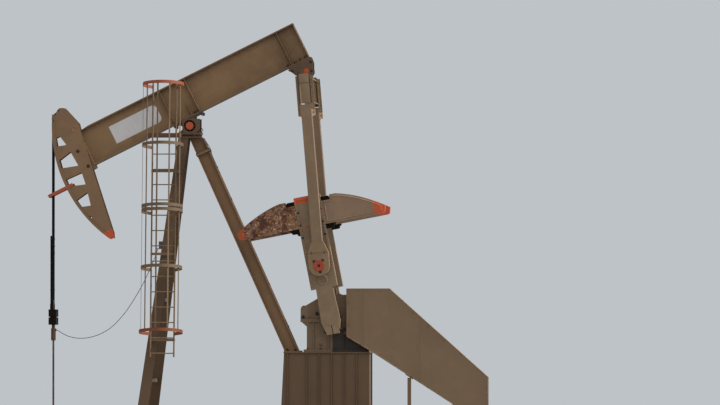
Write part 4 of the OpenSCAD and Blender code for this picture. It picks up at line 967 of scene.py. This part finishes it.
def makeReducerBolts():
    r = reducerSet
    y, first, pitch = r["flangeBolts"]
    xs, x = [], r["front"] + first
    while x < r["back"] - 0.03:
        if abs(x - r["slow"]) > 0.235 and abs(x - r["fast"]) > 0.125:
            xs.append(x)
        x += pitch
    places = grid(xs, [y], [r["split"] + r["flange"]], up) + grid(xs, [y], [r["split"] - r["flange"]], down)
    bolts("flangeBolts", "root", 0.0175, bothSides(places), **painted)
    places = circle(8, 0.186, r["slow"], -r["capFace"], r["split"], near)
    places += circle(6, 0.082, r["fast"], -r["capFace"], r["split"], near)
    bolts("capBolts", "root", 0.018, bothSides(places))
    (x0, z0), (x1, z1) = r["big"], r["boss"]  # the big ones near the front end
    bolts("reducerEndBolts", "root", 0.032, bothSides([((x0, -0.4002, z0), near), ((x1, -0.4262, z1), near)]))
    lid = grid(r["lid"], (-0.145, 0.145), [r["coverTop"]], up)
    bolts("lidBolts", "root", 0.014, lid, kind=plainBolt)
    bolts("reducerBaseBolts", "root", 0.024, bothSides(grid(r["base"], [-0.43], [2.1102], up)))


def makeReducerDetails():
    r = reducerSet
    breather = drum(0.022, 0.05, r["breather"], sides=18)
    shape(breather, faceAlong(up), inset(-0.012), extrude(0, 0, 0.05), inset(0.010, 0.008))
    pieces = [chamfer(breather, 0.003)]
    for fitting in r["fittings"]:
        pieces += roundPair(*fitting)
    give(pieces, "reducerFittings", "root", "bearing")


def makeCapRings():  # flat rings round the shafts, open for the shaft
    r = reducerSet
    rings = []
    for side in (-1, 1):
        for x, outer, inner in r["rings"]:
            selectOnly()
            bpy.ops.mesh.primitive_circle_add(vertices=56, radius=inner, fill_type="NOTHING")
            ring = bpy.context.object
            shape(ring, anyOne, bpy.ops.mesh.extrude_region_move,
                  lambda: bpy.ops.transform.resize(value=(outer / inner, outer / inner, 1)), kind="EDGE")
            thick = ring.modifiers.new("thick", "SOLIDIFY")
            thick.thickness, thick.offset = 0.011, 1
            chamfer(applied(ring, thick), 0.0025)
            low = shift((0, 0, -min(v.co.z for v in ring.data.vertices)))
            at = shift((x, side * (r["capFace"] + 0.0002), r["split"]))
            ring.data.transform(at @ facing((0, side, 0)) @ low)
            rings.append(ring)
    give(rings, "capRings", "root", "bearing")


makeReducerBolts()
makeReducerDetails()
makeCapRings()
print("reducer dressed")


# belt guard

guardSet = {
    "face": -0.655, "left": 3.145, "top": 3.316, "flatEnd": 4.0, "slope": 0.897, "low": 2.366, "belly": (3.635, 2.07),
    "underSlope": 0.644, "end": 5.95, "seams": (3.504, 4.62), "centre": (4.2, 2.3), "pitch": 0.42,
}


def guardTop(x):
    g = guardSet
    return g["top"] - max(0, x - g["flatEnd"]) * g["slope"]


def guardUnder(x):
    g = guardSet
    bx, bz = g["belly"]
    if x >= bx:
        return bz - (x - bx) * g["underSlope"]
    return g["low"] + (x - g["left"]) * (bz - g["low"]) / (bx - g["left"])


def makeGuardTrim():
    g = guardSet
    y, end = g["face"], g["end"]
    pieces = []
    for x in g["seams"]:  # with their cover strips
        low, high = guardUnder(x) + 0.012, guardTop(x) - 0.012
        pieces.append(chamfer(block((x - 0.011, y - 0.006, low), (x + 0.011, y - 0.0002, high)), 0.002))
    corner = (g["left"], g["low"])
    line = [corner, (g["left"], g["top"]), (g["flatEnd"], g["top"]), (end, guardTop(end)), (end, guardUnder(end)),
            g["belly"], corner]
    line = [Vector((x, 0, z)) for x, z in line]
    centre = Vector((g["centre"][0], 0, g["centre"][1]))
    hem = [p + (centre - p).normalized() * 0.018 + Vector((0, y - 0.002, 0)) for p in line]
    give(pieces + [tube(hem, 0.007, 2)], "guardSeams", "root", "guard")
    places = []
    for a, b in zip(line, line[1:]):
        count = max(1, round((b - a).length / g["pitch"]))
        for i in range(count):
            p = a.lerp(b, (i + 0.5) / count)
            p += (centre - p).normalized() * 0.055
            places.append(((p.x, y - 0.0002, p.z), near))
    bolts("guardBolts", "root", 0.014, places, kind=plainBolt, **painted)


makeGuardTrim()
print("guard dressed")


# posts

postSet = {  # rows of bolts: x, near y and height
    "sill": ((-1.000, -0.820), (-1.337, -1.113), 0.45), "rearFoot": ((1.945, 2.105), [-0.165], 2.09),
    "cap": ((-0.188, 0.191), [-0.215], 6.41), "bearing": ((-0.150, 0.150), [-0.105], 6.434),
}
spliceSet = {"up": 0.927, "out": (-0.125, 0.125), "y": (-0.115, 0.115)}
greaseSet = {  # shares of the rear leg's length, and how far the line stands out from its middle
    "line": [(0.03, 0.139), (0.2, 0.139), (0.4, 0.139), (0.6, 0.139), (0.8, 0.139), (0.90, 0.139), (0.925, 0.158),
             (0.945, 0.158), (0.97, 0.139)],
    "clips": (0.1, 0.3, 0.5, 0.7, 0.85), "clipOut": 0.1312, "y": -0.06,
}
hookSet = {"foot": (0.205, -0.215, 6.4102), "post": 0.055, "bend": 0.030, "rod": 0.007, "steps": 16}
legFoot, legTop = Vector((2.022, 0, 2.09)), Vector((0.130, 0, 6.31))  # the rear leg's middle line
legAlong = (legTop - legFoot).normalized()
legOut = Vector((legAlong.z, 0, -legAlong.x))


def besideLeg(share, out, y, along=0.0):
    return legFoot.lerp(legTop, share) + legOut * out + legAlong * along + Vector((0, y, 0))


def makePostBolts():
    places = []
    for xs, ys, z in postSet.values():
        places += grid(xs, ys, [z], up)
    bolts("postBolts", "root", 0.034, bothSides(places))
    s = spliceSet
    spots = []
    for out in s["out"]:
        for y in s["y"]:
            spots.append((besideLeg(s["up"], out, y, 0.0402), legAlong))
            spots.append((besideLeg(s["up"], out, y, -0.0002), -legAlong))
    bolts("spliceBolts", "root", 0.020, spots)


def makeGreaseLine():  # the thin line that feeds the centre bearing, clipped on the rear leg
    g = greaseSet
    pieces = [tube(smoothLine([besideLeg(share, out, g["y"]) for share, out in g["line"]], 8), 0.006, 2)]
    for share in g["clips"]:
        clip = chamfer(block((-0.012, -0.022, 0), (0.012, 0.022, 0.018)), 0.004, 2)
        clip.data.transform(shift(besideLeg(share, g["clipOut"], g["y"])) @ facing(legOut))
        pieces.append(clip)
    give(pieces, "greaseLine", "root", "bearing")


def makeCapHook():  # the open hook on the post cap's near back corner
    h = hookSet
    x, y, z = h["foot"]
    top, bend = z + h["post"], h["bend"]
    line = [Vector((x, y, z)), Vector((x, y, top))]
    for i in range(1, h["steps"] + 1):
        a = radians(180 - 250 * i / h["steps"])
        line.append(Vector((x + bend + bend * cos(a), y, top + bend * sin(a))))
    give([tube(line, h["rod"], 3)], "capHook", "root", "carrier", smooth=60)


makePostBolts()
makeCapHook()
makeGreaseLine()
print("posts dressed")


# ladder and cage

cageSet = {"hoops": (1.70, 2.825, 2.915, 4.14, 5.35), "radius": 0.408, "out": 0.33, "straps": (-48, -11, 24, 63)}


def makeCageRivets():
    c = cageSet
    places = []
    for z in c["hoops"]:
        for a in [radians(degrees) for degrees in c["straps"]]:
            toward = Vector((sin(a), -cos(a), 0))
            places.append((Vector((0, -c["out"], z)) + toward * (c["radius"] + 0.0002), toward))
    bolts("cageBolts", "root", 0.016, places, onLadder, kind=plainBolt, **painted)


makeCageRivets()


# motor

motorSet = {"x": 5.5, "z": 1.30, "ends": (-0.2902, 0.4702), "eye": 0.36, "bolts": 0.21, "louvres": 9}


def makeMotorDetails():
    m = motorSet
    x, z, (front, back) = m["x"], m["z"], m["ends"]
    stem = drum(0.016, 0.05, (x, m["eye"], z + 0.232), up, 14)
    selectOnly()
    bpy.ops.mesh.primitive_torus_add(major_radius=0.030, minor_radius=0.010, major_segments=28, minor_segments=10,
                                     location=(x, m["eye"], z + 0.305), rotation=(radians(90), 0, 0))
    give([stem, settle()], "motorEye", "root", "boltPaint")
    places = circle(8, m["bolts"], x, front, z, near) + circle(8, m["bolts"], x, back, z, far)
    bolts("motorBolts", "root", 0.014, places)
    slat = chamfer(block((-0.10, 0, -0.004), (0.10, 0.008, 0.004)), 0.002)
    louvres = []
    for i in range(m["louvres"]):
        dz = -0.12 + i * 0.03
        narrow = Matrix.Scale(sqrt(max(0.05, 1 - (dz / 0.17) ** 2)), 4, (1, 0, 0))
        louvres.append(copyTo(slat, shift((x, back, z + dz)) @ narrow))
    remove(slat)
    give(louvres, "motorLouvres", "root", "motor")


makeMotorDetails()
print("motor dressed")


# skid

skidSet = {"x": (-0.6, 0.4, 1.2, 3.9, 5.0, 6.0), "y": (-0.480, -0.610), "top": 0.42}


def makeSkidBolts():
    s = skidSet
    bolts("skidBolts", "root", 0.026, bothSides(grid(s["x"], s["y"], [s["top"]], up)))


makeSkidBolts()

remove(bolt)
remove(plainBolt)


# floor, air and lamps

stageSet = {
    "sky": shade(190, 195, 200), "floor": (176, 178, 180), "patches": (178, 180, 183), "size": 900,
    "near": 9.0, "far": 60.0, "warm": shade(243, 238, 226), "air": 0.62,
}
lampSet = {  # direction, strength, angle and colour
    "sideLamp": ((-0.85, 0.03, -0.53), 4.2, 5, (1.0, 0.97, 0.90)),
    "frontLamp": ((-0.15, 1.0, -0.35), 0.7, 50, (1.0, 0.98, 0.96)),
}


def makeFloor():  # grey near the unit, and as bright as the sky far away
    s = stageSet
    selectOnly()
    bpy.ops.mesh.primitive_plane_add(size=s["size"], location=(0, 0, -0.002))
    floor = bpy.context.object
    floor.name = "studioFloor"
    f = Finish("studioFloorGrey")
    away = (f.x ** 2 + f.y ** 2) ** 0.5
    colour = f.mix(f.noise(0.6, 3).step(0.3, 0.7) * 0.25, s["floor"], s["patches"])
    lit = f.node("BsdfPrincipled", {"Base Color": colour, "Roughness": 0.9, "Specular IOR Level": 0.1})
    glow = f.node("Emission", {"Color": s["sky"], "Strength": 1.0})
    f.output(f.node("MixShader", {0: away.step(s["near"], s["far"]), 1: lit, 2: glow}))
    floor.data.materials.append(f.material)


def makeAir():  # a plain sky where it is seen or mirrored, and softer light from all sides
    s = stageSet
    world = bpy.data.worlds.new("studioAir")
    world.use_nodes = True
    scene.world = world
    tree = world.node_tree
    tree.nodes.clear()
    make, link = tree.nodes.new, tree.links.new
    path, mix, out = make("ShaderNodeLightPath"), make("ShaderNodeMixShader"), make("ShaderNodeOutputWorld")
    for i, colour, strength in ((1, s["warm"], s["air"]), (2, s["sky"], 1.0)):
        light = make("ShaderNodeBackground")
        light.inputs["Color"].default_value, light.inputs["Strength"].default_value = colour, strength
        link(light.outputs[0], mix.inputs[i])
    seen = path.outputs["Is Camera Ray"]
    for ray in ("Is Glossy Ray", "Is Transmission Ray"):
        most = make("ShaderNodeMath")
        most.operation = "MAXIMUM"
        link(seen, most.inputs[0])
        link(path.outputs[ray], most.inputs[1])
        seen = most.outputs[0]
    link(seen, mix.inputs[0])
    link(mix.outputs[0], out.inputs["Surface"])


def makeLamps():
    for name, (toward, strength, angle, colour) in lampSet.items():
        bpy.ops.object.light_add(type="SUN", location=(0, 0, 12))
        lamp = bpy.context.object
        lamp.name = name
        lamp.rotation_euler = Vector(toward).to_track_quat("-Z", "Y").to_euler()
        lamp.data.energy, lamp.data.angle, lamp.data.color = strength, radians(angle), colour


makeFloor()
makeAir()
makeLamps()
scene.view_settings.view_transform = "Standard"
print("floor, air and lamps made")

selectOnly()
